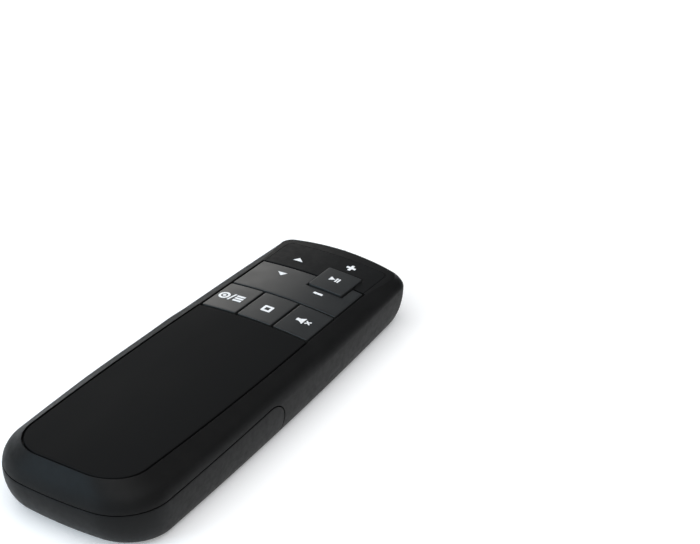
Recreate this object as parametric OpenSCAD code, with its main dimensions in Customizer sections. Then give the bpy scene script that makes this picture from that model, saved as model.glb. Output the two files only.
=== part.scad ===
// Wireless presentation clicker: slim hand-held remote with a key pad at the nose,
// a laser pointer, two AAA cells and a stowed USB receiver behind a slide-off door.
// Millimetres. +Y points to the nose, +Z is up, the underside rests on z = 0.

/* [Body] */
// overall length
body_l = 119.6; // [105:0.2:140]
// half width at mid length
half_mid = 21.03; // [19.5:0.05:24]
// half width at the nose
half_nose = 18.2; // [17:0.05:21]
// half width at the tail
half_tail = 21.2; // [19.5:0.05:24]
// bow of the front edge
nose_bow = 3.05; // [1:0.05:4]
// bow of the rear edge
tail_bow = 2.1; // [0.5:0.05:3]
// plan radius of the front corners
nose_r = 3.7; // [1.5:0.1:5]
// plan radius of the rear corners
tail_r = 13; // [8:0.1:14]
// height of the top surface at mid length
top_z = 15.91; // [15.6:0.05:19]
// fall of the top surface toward the nose, degrees
top_tilt = 2.443; // [1:0.01:2.6]
// radius of the crown across the top
crown_r = 143.7; // [120:1:240]
// height of the widest line
wide_z = 9.9; // [8.6:0.1:10.1]
// how far the flat underside is drawn in at the sides
belly_side = 3.2; // [2:0.1:4.2]
// how far the flat underside is drawn in at the nose
belly_nose = 5.6; // [3:0.1:6]
// how far the flat underside is drawn in at the tail
belly_tail = 7.4; // [4:0.1:7.6]
// height of the shoulder line over the rear half
shoulder_z = 13.45; // [12.8:0.05:13.6]
// drop of the shoulder line where the key pad begins
shoulder_step = 0.6; // [0:0.05:0.7]
// fall of the shoulder line along the key pad, per mm
shoulder_fall = 0.028; // [0:0.002:0.04]
// shoulder line drawn in from the widest line, front half
shoulder_in = 1.7; // [0.8:0.05:1.9]
// shoulder line drawn in from the widest line, rear half
shoulder_in_rear = 0.65; // [0.3:0.05:0.9]
// wall thickness
wall = 1.8; // [1.4:0.1:2]
// rim of the top shell outside the keys and the panel
rim = 0.55; // [0.3:0.05:0.8]

/* [Key pad] */
// nose to the front edge of the nose rocker
pad_nose = 5.6; // [5.2:0.1:6.8]
// length of the nose rocker
nose_len = 11.27; // [10.2:0.01:13.2]
// length of the band
band_len = 13.5; // [12:0.1:14.9]
// length of the lower row of keys
row_len = 12.71; // [11.5:0.01:14.4]
// half width of the key pad at its rear edge
pad_half = 15.35; // [14.5:0.05:16]
// taper of the key pad's half width, per mm
pad_taper = 0.0224; // [0:0.001:0.03]
// half width of the nose rocker
nose_half = 14.4; // [13.5:0.1:14.6]
// half of the gap between keys
key_gap = 0.25; // [0.12:0.02:0.3]
// hairline gap round the nose rocker
hair_gap = 0.12; // [0.1:0.01:0.2]
// left edge of the play key
play_x0 = 1.6; // [1.5:0.1:2.6]
// width of the play key
play_w = 9.7; // [9:0.1:10.2]
// length of the play key
play_l = 9.7; // [8.8:0.1:10]
// how far the play key reaches into the band
play_back = 4.93; // [4.33:0.1:5.63]
// how far the play key stands proud
play_up = 0.4; // [0.2:0.01:0.8]
// thickness of the key caps
key_t = 1.2; // [1:0.05:1.4]
// depth of the key skirts below the crest of the top
skirt_d = 3.15; // [2.9:0.05:3.2]
// travel of the plain keys
key_travel = 0.35; // [0.2:0.05:0.4]
// radius of the key plungers
stem_r = 1.3; // [1:0.05:1.5]
// radius of the key guide pegs
peg_r = 0.8; // [0.7:0.05:0.9]
// radial running fit of plungers and pegs
run_fit = 0.08; // [0.05:0.01:0.1]
// radius of the rocker pivots
pivot_r = 0.6; // [0.5:0.05:0.7]
// depth of the rocker pivots below the crest of the top
pivot_d = 3.0; // [2.95:0.05:3]
// sideways place of the rocker pivots
pivot_x = -0.6; // [-1:0.05:-0.5]
// clearance round the play key
notch_gap = 0.25; // [0.2:0.01:0.3]
// thickness of the caps' skirts
skirt_t = 0.8; // [0.7:0.05:0.9]

/* [Signs] */
// width of the triangles
arrow_w = 2.7; // [2.2:0.1:3.2]
// length of the plus and minus bars
bar_l = 2.5; // [2.2:0.1:3]
// width of the plus and minus bars
bar_w = 0.75; // [0.6:0.05:1.1]
// width of the play sign
play_sign_w = 2.7; // [2.4:0.1:3.6]
// outer side of the stop sign
stop_sign_w = 2.6; // [2.1:0.1:3]
// width of the mute sign
mute_sign_w = 3.9; // [3.2:0.1:4.4]
// width of the screen sign
screen_sign_w = 6.8; // [6:0.1:7.4]
// thickness of the print
print_t = 0.04; // [0.02:0.01:0.08]

/* [Palm panel] */
// tail to the rear edge of the panel
panel_tail = 3.4; // [2.8:0.1:4.8]
// half width of the panel at its front edge
panel_half = 15.35; // [14.5:0.05:16]
// outward bow of the panel's sides
panel_bow = 0.69; // [0:0.01:1]
// radius of the panel's rear corners
panel_r = 10; // [7:0.5:11]
// bow of the panel's rear edge
panel_sag = 0.66; // [0:0.02:1]
// panel thickness
panel_t = 1.2; // [1:0.05:1.3]
// gap round the panel
panel_gap = 0.4; // [0.2:0.02:0.4]
// deck under the panel
deck_t = 1.5; // [1.2:0.05:1.5]

/* [Battery door] */
// height of the seam round the tail
seam_z = 10.9; // [10.6:0.05:11]
// face of the front contacts to the front end of the door
door_front = 3.4; // [3:0.1:3.6]
// radius where the seam turns down
door_r = 5.5; // [3:0.1:7]
// width of the seam
seam_gap = 0.25; // [0.2:0.01:0.3]
// widest line to the inner face of the guide rails
rail_in = 3.43; // [3.35:0.01:3.55]
// thickness of the guide rails
rail_t = 1.2; // [1:0.05:1.3]
// lower edge of the guide rails
rail_z = 8.9; // [8.85:0.05:9]
// tail to the rear end of the guide rails
rail_tail = 13.8; // [13.8:0.5:19.8]
// depth of the groove in the guide rails
groove_d = 0.6; // [0.5:0.05:0.7]
// height of the groove
groove_h = 1.1; // [1:0.05:1.2]
// height of the door's ribs
rib_h = 0.8; // [0.6:0.05:0.9]

/* [Bottom cover] */
// half width of the cover
cover_half = 13.6; // [12.8:0.1:13.8]
// front end of the door to the rear edge of the cover
cover_step = 1.6; // [1.6:0.05:1.8]
// nose to the front edge of the cover
cover_nose = 9.3; // [8.8:0.1:10.8]
// thickness of the cover
cover_t = 1.6; // [1.4:0.05:1.7]
// gap round the cover
cover_gap = 0.15; // [0.1:0.01:0.2]
// ledge that the cover sits on
ledge = 1.35; // [1:0.05:1.5]

/* [Board and frame] */
// depth of the key frame below the crest of the top
frame_d = 3.6; // [3.6:0.02:3.64]
// thickness of the key frame
frame_t = 0.8; // [0.7:0.02:0.8]
// depth of the circuit board
board_d = 5.7; // [5.6:0.02:5.76]
// thickness of the circuit board
board_t = 1.0; // [0.8:0.05:1]
// half width of the board and the frame
board_half = 15.4; // [14.8:0.1:15.4]
// rear edge of the key pad to the rear edge of the board and the frame
board_back = 6.12; // [5.72:0.1:6.72]
// nose to the front edge of the board
board_nose = 4.2; // [4.1:0.1:4.8]
// thickness of the rubber mat
mat_t = 0.3; // [0.2:0.02:0.32]
// depth of the dome tops
dome_d = 4.6; // [4.55:0.01:4.65]
// radius of the domes at the mat
dome_r = 2.3; // [2:0.1:2.4]

/* [Laser] */
// sideways place of the laser
laser_x = 4.4; // [3.5:0.1:5.5]
// nose to the front end of the laser barrel
barrel_nose = 3.2; // [3.1:0.05:3.3]
// height of the laser
laser_z = 4.4; // [4.2:0.05:4.5]
// radius of the laser barrel
barrel_r = 2.2; // [2:0.05:2.25]
// length of the laser barrel
barrel_l = 11; // [9:0.1:11.5]
// radius of the bore of the barrel
barrel_bore = 1.5; // [1.2:0.05:1.6]
// radius of the aperture
aperture_r = 1.4; // [1:0.05:1.5]
// radius of the window
window_r = 1.9; // [1.7:0.05:2.1]

/* [Cells and receiver] */
// radius of an AAA cell
cell_r = 5.25; // [5:0.05:5.25]
// length of an AAA cell with its nub
cell_l = 44.5; // [44:0.1:44.5]
// height of the cells' axes
cell_z = 7.35; // [7.3:0.01:7.4]
// gap between the cells
cell_gap = 0.3; // [0.2:0.05:0.3]
// thickness of the tray's side walls
tray_wall = 0.8; // [0.7:0.05:0.8]
// thickness of the tray's end walls and ribs
tray_end = 1.2; // [1:0.05:1.2]
// lower edge of the tray
tray_z = 4.6; // [4.5:0.05:4.7]
// height of the tray's side walls
tray_h = 4.1; // [3.8:0.05:4.1]
// tail to the face of the rear contacts
cell_tail = 7.8; // [7.8:0.02:7.84]
// room for a pressed contact spring
spring_l = 2.9; // [2.7:0.05:3]
// thickness of the contact plates
plate_t = 0.4; // [0.3:0.02:0.4]
// radius of the spring wire
wire_r = 0.3; // [0.25:0.01:0.35]
// radius of the contact springs at the plate
spring_r0 = 3.2; // [2.8:0.1:3.6]
// radius of the contact springs at the cell
spring_r1 = 2.2; // [1.8:0.1:2.6]
// free play beside the receiver's cap
rx_fit = 0.1; // [0.05:0.01:0.1]
// height of the receiver
rx_z = 7.3; // [7.2:0.05:7.4]
// width of the receiver's plug
plug_w = 12; // [11.9:0.05:12]
// thickness of the receiver's plug
plug_h = 4.5; // [4.4:0.05:4.5]
// length of the receiver's plug
plug_l = 11.8; // [11:0.1:12]
// width of the receiver's cap
cap_w = 12.2; // [12:0.05:12.25]
// thickness of the receiver's cap
cap_h = 6.6; // [5.5:0.1:6.8]
// length of the receiver's cap
cap_l = 18.2; // [14:0.1:19]
// free play of the plug in its pocket
plug_fit = 0.05; // [0.03:0.01:0.08]

/* [Screws] */
// radius of the screw shanks
screw_r = 0.95; // [0.8:0.05:1]
// radius of the screw heads
head_r = 1.8; // [1.6:0.05:1.9]
// height of the screw heads
head_h = 0.9; // [0.8:0.05:1]
// radius of the screw posts
post_r = 2.0; // [1.8:0.05:2.1]
// length of the tray's screws
tray_screw_l = 3.1; // [2.9:0.05:3.2]
// length of the cover's screws
cover_screw_l = 6; // [5:0.5:7]

/* [Hidden] */
$fn = 48;
yf = body_l/2;
ff = 180;
tilt_s = tan(top_tilt);
n_front = 5;
n_fc = 4;
n_side = 10;
n_rc = 6;
n_rear = 3;
half_n = n_front + n_fc + n_side + n_rc + n_rear + 1;
ring_n = 2*half_n - 2;
nose_in = 0.1;
edge_nose = 2.37;
edge_bow = 1.7;
edge_half = 15.9;
edge_r = 2.6;
nose_turn = 0.18;
inner_belly = 0.8;
inner_nose_r = max(nose_r - wall, 0.6);
bore_r = screw_r + 0.05;
hang = panel_t + deck_t;
// places along the body, from the nose backwards
barrel_y1 = yf - barrel_nose;
board_y1 = yf - board_nose;
cover_y1 = yf - cover_nose;
pad_y3 = yf - pad_nose;
pad_y2 = pad_y3 - nose_len;
pad_y1 = pad_y2 - band_len;
pad_y0 = pad_y1 - row_len;
play_x1 = play_x0 + play_w;
play_y0 = pad_y2 - play_back;
play_y1 = play_y0 + play_l;
board_y0 = pad_y0 - board_back;
step_y = pad_y0 + 1.28;
// places along the body, from the tail forwards
panel_y0 = panel_tail - yf;
rail_y0 = rail_tail - yf;
rear_y = cell_tail - yf;
contact_y = rear_y + cell_l + spring_l;
door_y = contact_y + door_front;
cover_y0 = door_y + cover_step;
cover_sx = cover_half - 2.6;
cover_sy = cover_y0 + 6;
board_sx = board_half - 3;
board_sy = board_y0 + 2.6;
under = board_d + board_t;
board_corner = 5.6;
board_front = 2.4;
tab_z = 11.9;
tab_t = 1.5;
rail_top = 13.4;
// tray, cells and receiver, from the side walls inwards
rail_x = half_mid - rail_in;
tray_half = rail_x + 0.6;
cell_ax = tray_wall + 0.15 + cell_r - tray_half;
cell_bx = cell_ax + 2*cell_r + cell_gap;
rx_wall_x = cell_bx + cell_r + 0.15;
rx_x = rx_wall_x + tray_wall + rx_fit + cap_w/2;
rx_right = rx_x + cap_w/2 + rx_fit;
rx_y = contact_y + 0.6;
rx_sy = rear_y + 10.5;
tray_sx = 12;
tray_sy = cover_y0;
plate_z = 5;
plate_h = 5.2;
lead_x = [-7.8, 1.6];
lead_r = 0.5;
lead_z = 6;
// pitches of the keys' domes, plungers and pegs
low_y = (pad_y0 + pad_y1)/2;
third_x = pad_half*2/3;
play_cx = (play_x0 + play_x1)/2;
play_cy = (play_y0 + play_y1)/2;
rock_x = 7.5;
peg_low = 3.9;
peg_play = 2.9;
dome_xy = [[-third_x, low_y], [0, low_y], [third_x, low_y], [-rock_x, (pad_y1 + pad_y2)/2], [play_cx, (pad_y1 + play_y0)/2],
    [play_cx, play_cy], [-rock_x, (pad_y2 + pad_y3)/2], [play_cx + 0.5, (play_y1 + pad_y3)/2]];
band_k0 = pad_y1 + 1.27;
band_k1 = pad_y2 - 1.03;
nose_k0 = pad_y2 + 1.27;
nose_k1 = pad_y3 - 1;

// ---- smooth step, widths and heights of the body ----
function clamp01(t) = t < 0 ? 0 : t > 1 ? 1 : t;
function ease(t) = let (c = clamp01(t)) c*c*(3 - 2*c);
function hw(y) = let (t = y/yf) half_mid + (half_nose - half_tail)/2*t + ((half_nose + half_tail)/2 - half_mid)*t*t;
function kw(y) = pad_half - pad_taper*(y - pad_y0);
function pw(y) = let (t = (y - panel_y0)/(pad_y0 - panel_y0)) panel_half + 4*panel_bow*t*(1 - t);
function tw(y) = y < pad_y0 ? pw(y) : y < pad_y2 ? kw(y) : kw(pad_y2) + (edge_half - kw(pad_y2))*ease((y - pad_y2)/12);
function surf(x, y) = top_z - y*tilt_s - x*x/(2*crown_r);
function zc(y) = shoulder_z - (y < step_y ? shoulder_step*ease((y - step_y)/10 + 1) : shoulder_step + shoulder_fall*(y - step_y));
function ci(y) = shoulder_in_rear + (shoulder_in - shoulder_in_rear)*ease((y - step_y + 43)/35);
function chamfer(y) = 0.5 + 0.8*ease((step_y + 7 - y)/40);
function side(y, m, d) = m == 0 ? hw(y) - d : tw(y) + d;

// right half of a level outline, from the front centre round to the rear centre
function half(m, d, inf, inr, sf, sr, rf, rr) =
    let (yF = yf - inf, yR = inr - yf,
        wF = side(yF - 0.7*sf - rf, m, d), cF = wF - rf, pF = atan(2*sf*cF/(wF*wF)),
        xF = cF + rf*sin(pF), cyF = yF - sf*pow(xF/wF, 2) - rf*cos(pF),
        wR = side(yR + sr/2 + rr, m, d), cR = wR - rr, pR = atan(2*sr*cR/(wR*wR)),
        xR = cR + rr*sin(pR), cyR = yR + sr*pow(xR/wR, 2) + rr*cos(pR))
    concat(
        [for (i = [0:n_front - 1]) let (x = xF*i/n_front) [x, yF - sf*pow(x/wF, 2)]],
        [for (i = [0:n_fc]) let (a = (90 - pF)*(1 - i/n_fc)) [cF + rf*cos(a), cyF + rf*sin(a)]],
        [for (i = [1:n_side - 1]) let (y = cyF + (cyR - cyF)*i/n_side) [side(y, m, d), y]],
        [for (i = [0:n_rc]) let (a = -(90 - pR)*i/n_rc) [cR + rr*cos(a), cyR + rr*sin(a)]],
        [for (i = [1:n_rear]) let (x = xR*(1 - i/n_rear)) [x, yR + sr*pow(x/wR, 2)]]);

// outer levels of the body
function belly_pts(a) = let (k = 1 - sin(a), rf = nose_r - nose_turn*belly_nose*k)
    [for (p = half(0, belly_side*k, belly_nose*k, belly_tail*k, nose_bow, tail_bow, max(rf, 0.6), tail_r - 0.5*belly_tail*k))
        [p[0], p[1], wide_z*(1 - cos(a))]];
function crease_pts() =
    [for (p = half(0, 0, nose_in, shoulder_in_rear, nose_bow, tail_bow, nose_r, tail_r))
        [p[0]*(1 - ci(p[1])/hw(p[1])), p[1], zc(p[1])]];
function edge_pts() =
    [for (p = half(1, rim, edge_nose, yf + panel_y0 - panel_gap, edge_bow, panel_sag, edge_r, panel_r + rim))
        [p[0], p[1], surf(p[0], p[1])]];
function mix(a, b, t) = [for (i = [0:len(a) - 1]) a[i] + (b[i] - a[i])*t];
function bulge_pts() = let (w = belly_pts(90), c = crease_pts())
    [for (i = [0:half_n - 1]) let (q = w[i] + (c[i] - w[i])*0.28) [q[0], q[1], (w[i][2] + c[i][2])/2]];
function under_crease() = let (w = belly_pts(90), c = crease_pts())
    [for (i = [0:half_n - 1]) let (h = chamfer(c[i][1]), q = w[i] + (c[i] - w[i])*0.75) [q[0], q[1], c[i][2] - h]];
function over_crease() = let (e = edge_pts(), c = crease_pts())
    [for (i = [0:half_n - 1]) c[i] + (e[i] - c[i])*chamfer(c[i][1])/norm(e[i] - c[i])];
// inner levels of the body
function in_belly(a) = let (k = inner_belly*(1 - sin(a)), rr = tail_r - wall - 0.5*belly_tail*k)
    [for (p = half(0, wall + belly_side*k, wall + belly_nose*k, wall + belly_tail*k, nose_bow, tail_bow, inner_nose_r, rr))
        [p[0], p[1], wall + (wide_z - wall)*(1 - cos(a))]];
function in_crease() =
    [for (p = half(0, wall, wall + nose_in, wall + shoulder_in_rear, nose_bow, tail_bow, inner_nose_r, tail_r - wall))
        [p[0]*(1 - ci(p[1])/hw(p[1])), p[1], zc(p[1]) - 1]];
function in_over() = let (e = edge_pts(), c = crease_pts(), n = in_crease())
    [for (i = [0:half_n - 1]) n[i] + (e[i] - c[i])*1.9];

// closes a list of half outlines into a solid
function mirror_ring(h) = concat(h, [for (i = [half_n - 2:-1:1]) [-h[i][0], h[i][1], h[i][2]]]);
module loft(halves) {
    pts = [for (h = halves) each mirror_ring(h)];
    m = len(halves);
    sides = [for (k = [0:m - 2], i = [0:ring_n - 1], t = [0, 1])
        let (j = (i + 1)%ring_n, a = k*ring_n, b = a + ring_n)
        t == 0 ? [a + i, a + j, b + j] : [a + i, b + j, b + i]];
    bottom = [[for (i = [ring_n - 1:-1:0]) i]];
    o = (m - 1)*ring_n;
    cap = [for (i = [0:half_n - 2])
        i == 0 ? [o, o + 1, o + ring_n - 1]
        : i == half_n - 2 ? [o + i, o + i + 1, o + ring_n - i]
        : [o + i, o + i + 1, o + ring_n - i - 1, o + ring_n - i]];
    polyhedron(points = pts, faces = concat(sides, bottom, cap), convexity = 6);
}

// frame of the top surface: its crest is local z = 0
module pad() {
    translate([0, 0, top_z]) rotate([-top_tilt, 0, 0]) children();
}
module crown(down) {
    pad() translate([0, 0, -crown_r]) rotate([90, 0, 0]) cylinder(r = crown_r - down, h = 220, center = true, $fn = ff);
}
module slab(d0, d1) {
    pad() translate([0, 0, -d1]) linear_extrude(height = d1 - d0) children();
}
module outer_body() {
    intersection() {
        loft(concat([for (a = [0:18:90]) belly_pts(a)], [bulge_pts(), under_crease(), over_crease(), mix(crease_pts(), edge_pts(), 2.3)]));
        crown(0);
    }
}
module inner_body() {
    intersection() {
        loft(concat([for (a = [0:30:90]) in_belly(a)], [in_crease(), in_over()]));
        crown(hang);
    }
}

// side view of the door's zone, swept right across; g widens it
module door_zone(g) {
    y1 = door_y + g;
    z1 = seam_z + g;
    difference() {
        translate([-40, -80, -5]) cube([80, 80 + y1, 5 + z1]);
        difference() {
            translate([-41, y1 - door_r, z1 - door_r]) cube([82, door_r + 1, door_r + 1]);
            translate([-42, y1 - door_r, z1 - door_r]) rotate([0, 90, 0]) cylinder(r = door_r, h = 84);
        }
    }
}

// palm panel outline; g widens it
function panel_pts(g) =
    let (yc = panel_y0 + panel_r, w = pw(yc) + g, cx = w - panel_r - g, r = panel_r + g,
        rt = concat(
            [for (i = [0:7]) let (y = pad_y0 - key_gap + (yc - pad_y0 + key_gap)*i/8) [pw(y) + g, y]],
            [for (i = [0:8]) let (a = -90*i/8) [cx + r*cos(a), yc + r*sin(a) + panel_sag*pow(cx/14, 2)*i/8]],
            [for (i = [1:2]) let (x = cx*(1 - i/2)) [x, panel_y0 - g + panel_sag*pow(x/14, 2)]]))
    concat(rt, [for (i = [len(rt) - 2:-1:0]) [-rt[i][0], rt[i][1]]]);
function key_pts(f0, f1) = let (a = pad_y0 + key_gap, b = pad_y1 - key_gap)
    [[f0*kw(a) + key_gap, a], [f1*kw(a) - key_gap, a], [f1*kw(b) - key_gap, b], [f0*kw(b) + key_gap, b]];
function key_in(f0, f1, s) = let (a = pad_y0 + key_gap + s, b = pad_y1 - key_gap - s)
    [[f0*kw(a) + key_gap + s, a], [f1*kw(a) - key_gap - s, a], [f1*kw(b) - key_gap - s, b], [f0*kw(b) + key_gap + s, b]];
function opening_pts() = let (a = pad_y0 - key_gap - 0.02, b = pad_y2 + key_gap - hair_gap, n = nose_half + hair_gap, e = pad_y3 + hair_gap, r = 1.5)
    concat([[-kw(a) - key_gap, a], [kw(a) + key_gap, a], [kw(b) + key_gap, b], [n, b]],
        [for (i = [0:4]) [n - r + r*cos(i*22.5), e - r + r*sin(i*22.5)]],
        [for (i = [4:-1:0]) [r - n - r*cos(i*22.5), e - r + r*sin(i*22.5)]],
        [[-n, b], [-kw(b) - key_gap, b]]);
function nose_pts() = let (b = pad_y2 + key_gap, n = nose_half, e = pad_y3, r = 1.5 - hair_gap, g = notch_gap)
    concat([[-n, b], [play_x0 - g, b], [play_x0 - g, play_y1 + g], [play_x1 + g, play_y1 + g], [play_x1 + g, b], [n, b]],
        [for (i = [0:4]) [n - r + r*cos(i*22.5), e - r + r*sin(i*22.5)]],
        [for (i = [4:-1:0]) [r - n - r*cos(i*22.5), e - r + r*sin(i*22.5)]]);
function band_pts() = let (a = pad_y1 + key_gap, b = pad_y2 - key_gap, g = notch_gap)
    [[-kw(a) + key_gap, a], [kw(a) - key_gap, a], [kw(b) - key_gap, b], [play_x1 + g, b], [play_x1 + g, play_y0 - g],
        [play_x0 - g, play_y0 - g], [play_x0 - g, b], [-kw(b) + key_gap, b]];
module box2(x0, x1, y0, y1) {
    translate([x0, y0]) square([x1 - x0, y1 - y0]);
}
// key cap: outline extruded to the crowned top, hollow below
module cap(pts, up) {
    difference() {
        intersection() {
            slab(-3, skirt_d) polygon(pts);
            crown(-up);
        }
        intersection() {
            slab(-2, skirt_d + 1) children();
            crown(key_t - up);
        }
    }
}
module pin(x, y, r, d0, d1) {
    pad() translate([x, y, -d1]) cylinder(r = r, h = d1 - d0);
}
module guides(x, y, dx, dy, up) {
    pin(x, y, stem_r, 0.9 - up, dome_d);
    for (s = [-1, 1]) {
        pin(x + s*dx, y + s*dy, peg_r, 0.9 - up, frame_d + frame_t + 0.1);
        pin(x + s*dx, y + s*dy, peg_r + 0.35, frame_d + frame_t + 0.05, frame_d + frame_t + 0.55);
    }
}
module plain_key(f0, f1, x) {
    cap(key_pts(f0, f1), 0) polygon(key_in(f0, f1, skirt_t));
    guides(x, low_y, 0, peg_low, 0);
}
// rocker keel with its pivot pin, along the top surface
module keel(y0, y1) {
    slab(0.6, pivot_d) box2(pivot_x - pivot_r, pivot_x + pivot_r, y0 + 1.6, y1 - 1.6);
    pad() translate([pivot_x, y0, -pivot_d]) rotate([-90, 0, 0]) cylinder(r = pivot_r, h = y1 - y0);
}
module rocker_stem(i) {
    pin(dome_xy[i][0], dome_xy[i][1], stem_r - 0.2, 0.9, dome_d);
}
module ear(y) {
    difference() {
        slab(2.0, frame_d + 0.1) box2(pivot_x - 1.5, pivot_x + 1, y, y + 1.1);
        pad() translate([pivot_x, y - 1, -pivot_d]) rotate([-90, 0, 0]) cylinder(r = pivot_r + run_fit, h = 3.2);
        slab(frame_d, frame_d + 1) box2(pivot_x - 2, pivot_x + 2, y - 1, y + 2);
    }
}

module top_shell() color([0.10, 0.10, 0.10]) {
    difference() {
        union() {
            difference() {
                outer_body();
                inner_body();
            }
            // ledge for the bottom cover
            intersection() {
                outer_body();
                difference() {
                    translate([-cover_half - 2.4, door_y + 0.2, 0]) cube([2*cover_half + 4.8, cover_y1 - door_y + 1, 3]);
                    translate([-cover_half + ledge, cover_y0 + ledge, -1]) cube([2*(cover_half - ledge), cover_y1 - cover_y0 - ledge + 3, 6]);
                }
            }
            // guide rails of the door
            for (s = [-1, 1])
                translate([s*(rail_x + rail_t/2) - rail_t/2, rail_y0, rail_z]) cube([rail_t, door_y - 0.8 - rail_y0, rail_top - rail_z]);
            // screw posts for the cover, the board and the tray
            for (s = [-1, 1]) {
                translate([s*cover_sx, cover_sy, cover_t]) cylinder(r = post_r, h = 11.4);
                pin(s*board_sx, board_sy, post_r, 2.2, frame_d);
                translate([s*tray_sx, tray_sy, tab_z]) cylinder(r = post_r, h = 1.4);
            }
            translate([rx_x, rx_sy, tab_z]) cylinder(r = post_r, h = 3.4);
            // shelves under the front edge of the board
            intersection() {
                outer_body();
                slab(board_d + board_t, board_d + board_t + 1) {
                    box2(8.4, 12.4, board_y1 - 0.8, yf - 0.8);
                    box2(-12.4, -8.4, board_y1 - 0.8, yf - 0.8);
                }
            }
        }
        door_zone(seam_gap/2);
        // recess of the panel, opening of the keys
        difference() {
            slab(-2, 6) polygon(panel_pts(panel_gap));
            crown(panel_t);
        }
        slab(-3, 5.2) polygon(opening_pts());
        // opening and rebate of the bottom cover
        translate([-cover_half - cover_gap, cover_y0 - cover_gap, -1])
            cube([2*(cover_half + cover_gap), cover_y1 - cover_y0 + 2*cover_gap, 1 + cover_t]);
        translate([-cover_half + ledge, cover_y0 + ledge, -1])
            cube([2*(cover_half - ledge), cover_y1 - cover_y0 + cover_gap - ledge, 1.7 + cover_t]);
        // door grooves
        for (s = [-1, 1])
            translate([s*(rail_x + rail_t) - (s > 0 ? groove_d : 1), rail_y0 - 1, seam_z - 1 - groove_h/2])
                cube([groove_d + 1, door_y - 1.4 - rail_y0, groove_h]);
        // screw bores
        for (s = [-1, 1]) {
            translate([s*cover_sx, cover_sy, 0]) cylinder(r = bore_r, h = 8);
            pin(s*board_sx, board_sy, bore_r, 2.3, 6);
            translate([s*tray_sx, tray_sy, tab_z - 2]) cylinder(r = bore_r, h = 3.8);
        }
        translate([rx_x, rx_sy, tab_z - 2]) cylinder(r = bore_r, h = 3.8);
        // seat of the laser, its aperture and the window
        translate([laser_x, cover_y1 - 0.5, laser_z]) rotate([-90, 0, 0]) {
            cylinder(r = barrel_r + 0.05, h = barrel_y1 - cover_y1 + 0.55);
            cylinder(r = aperture_r, h = 15);
        }
        translate([laser_x, barrel_y1 + 0.4, laser_z]) rotate([-90, 0, 0]) cylinder(r = window_r, h = 5);
    }
}

module bottom_cover() color([0.11, 0.11, 0.11]) {
    difference() {
        union() {
            translate([-cover_half, cover_y0, 0]) cube([2*cover_half, cover_y1 - cover_y0, cover_t]);
            // hook of the front edge
            translate([-8, cover_y1 - 4, cover_t - 0.4]) cube([16, 4, 1.4]);
            translate([-8, cover_y1 - 1, wall]) cube([16, 2.6, 0.8]);
            // cradle of the laser
            translate([laser_x - 3, cover_y1 - 4, cover_t - 0.4]) cube([6, 3, laser_z - cover_t + 0.4]);
        }
        translate([laser_x, cover_y1 - 5, laser_z]) rotate([-90, 0, 0]) cylinder(r = barrel_r, h = 12);
        for (s = [-1, 1]) {
            translate([s*cover_sx, cover_sy, -1]) cylinder(r = bore_r, h = 4);
            translate([s*cover_sx, cover_sy, -1]) cylinder(r = head_r + 0.15, h = 2);
        }
    }
}

module battery_door() color([0.12, 0.12, 0.12]) {
    rib_x0 = rail_x + rail_t - groove_d + 0.25;
    rib_x1 = half_mid - 0.83;
    difference() {
        intersection() {
            outer_body();
            door_zone(-seam_gap/2);
        }
        inner_body();
    }
    // ribs that run in the rail grooves
    for (s = [-1, 1])
        translate([s*(rib_x0 + rib_x1)/2 - (rib_x1 - rib_x0)/2, rail_y0 + 2, seam_z - 1 - rib_h/2])
            cube([rib_x1 - rib_x0, door_y - 4.8 - rail_y0, rib_h]);
}

module palm_panel() color([0.14, 0.14, 0.14]) {
    difference() {
        intersection() {
            slab(-2, 6) polygon(panel_pts(0));
            crown(0);
        }
        crown(panel_t);
    }
}

module nose_rocker() color([0.13, 0.13, 0.13]) {
    cap(nose_pts(), 0) {
        box2(skirt_t - nose_half, play_x0 - skirt_t, nose_k0 - 0.2, pad_y3 - skirt_t);
        box2(play_x0 - skirt_t - 0.01, nose_half - skirt_t, play_y1 + notch_gap + skirt_t, pad_y3 - skirt_t);
    }
    keel(nose_k0, nose_k1);
    rocker_stem(6);
    rocker_stem(7);
}

module band_rocker() color([0.20, 0.21, 0.21]) {
    cap(band_pts(), 0) {
        box2(1.2 - kw(pad_y2), play_x0 - skirt_t, band_k0 - 0.2, band_k1 + 0.15);
        box2(play_x0 - skirt_t - 0.01, kw(pad_y2) - 1.4, band_k0 - 0.2, play_y0 - notch_gap - skirt_t);
    }
    keel(band_k0, band_k1);
    rocker_stem(3);
    rocker_stem(4);
}

module play_key() color([0.22, 0.24, 0.24]) {
    cap([[play_x0, play_y0], [play_x1, play_y0], [play_x1, play_y1], [play_x0, play_y1]], play_up)
        box2(play_x0 + 0.9, play_x1 - 0.9, play_y0 + 0.9, play_y1 - 0.9);
    guides(play_cx, play_cy, peg_play, 0, play_up);
}

module screen_key() color([0.24, 0.24, 0.23]) {
    plain_key(-1, -1/3, dome_xy[0][0]);
}

module stop_key() color([0.24, 0.24, 0.23]) {
    plain_key(-1/3, 1/3, dome_xy[1][0]);
}

module mute_key() color([0.22, 0.23, 0.23]) {
    plain_key(1/3, 1, dome_xy[2][0]);
}

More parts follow.
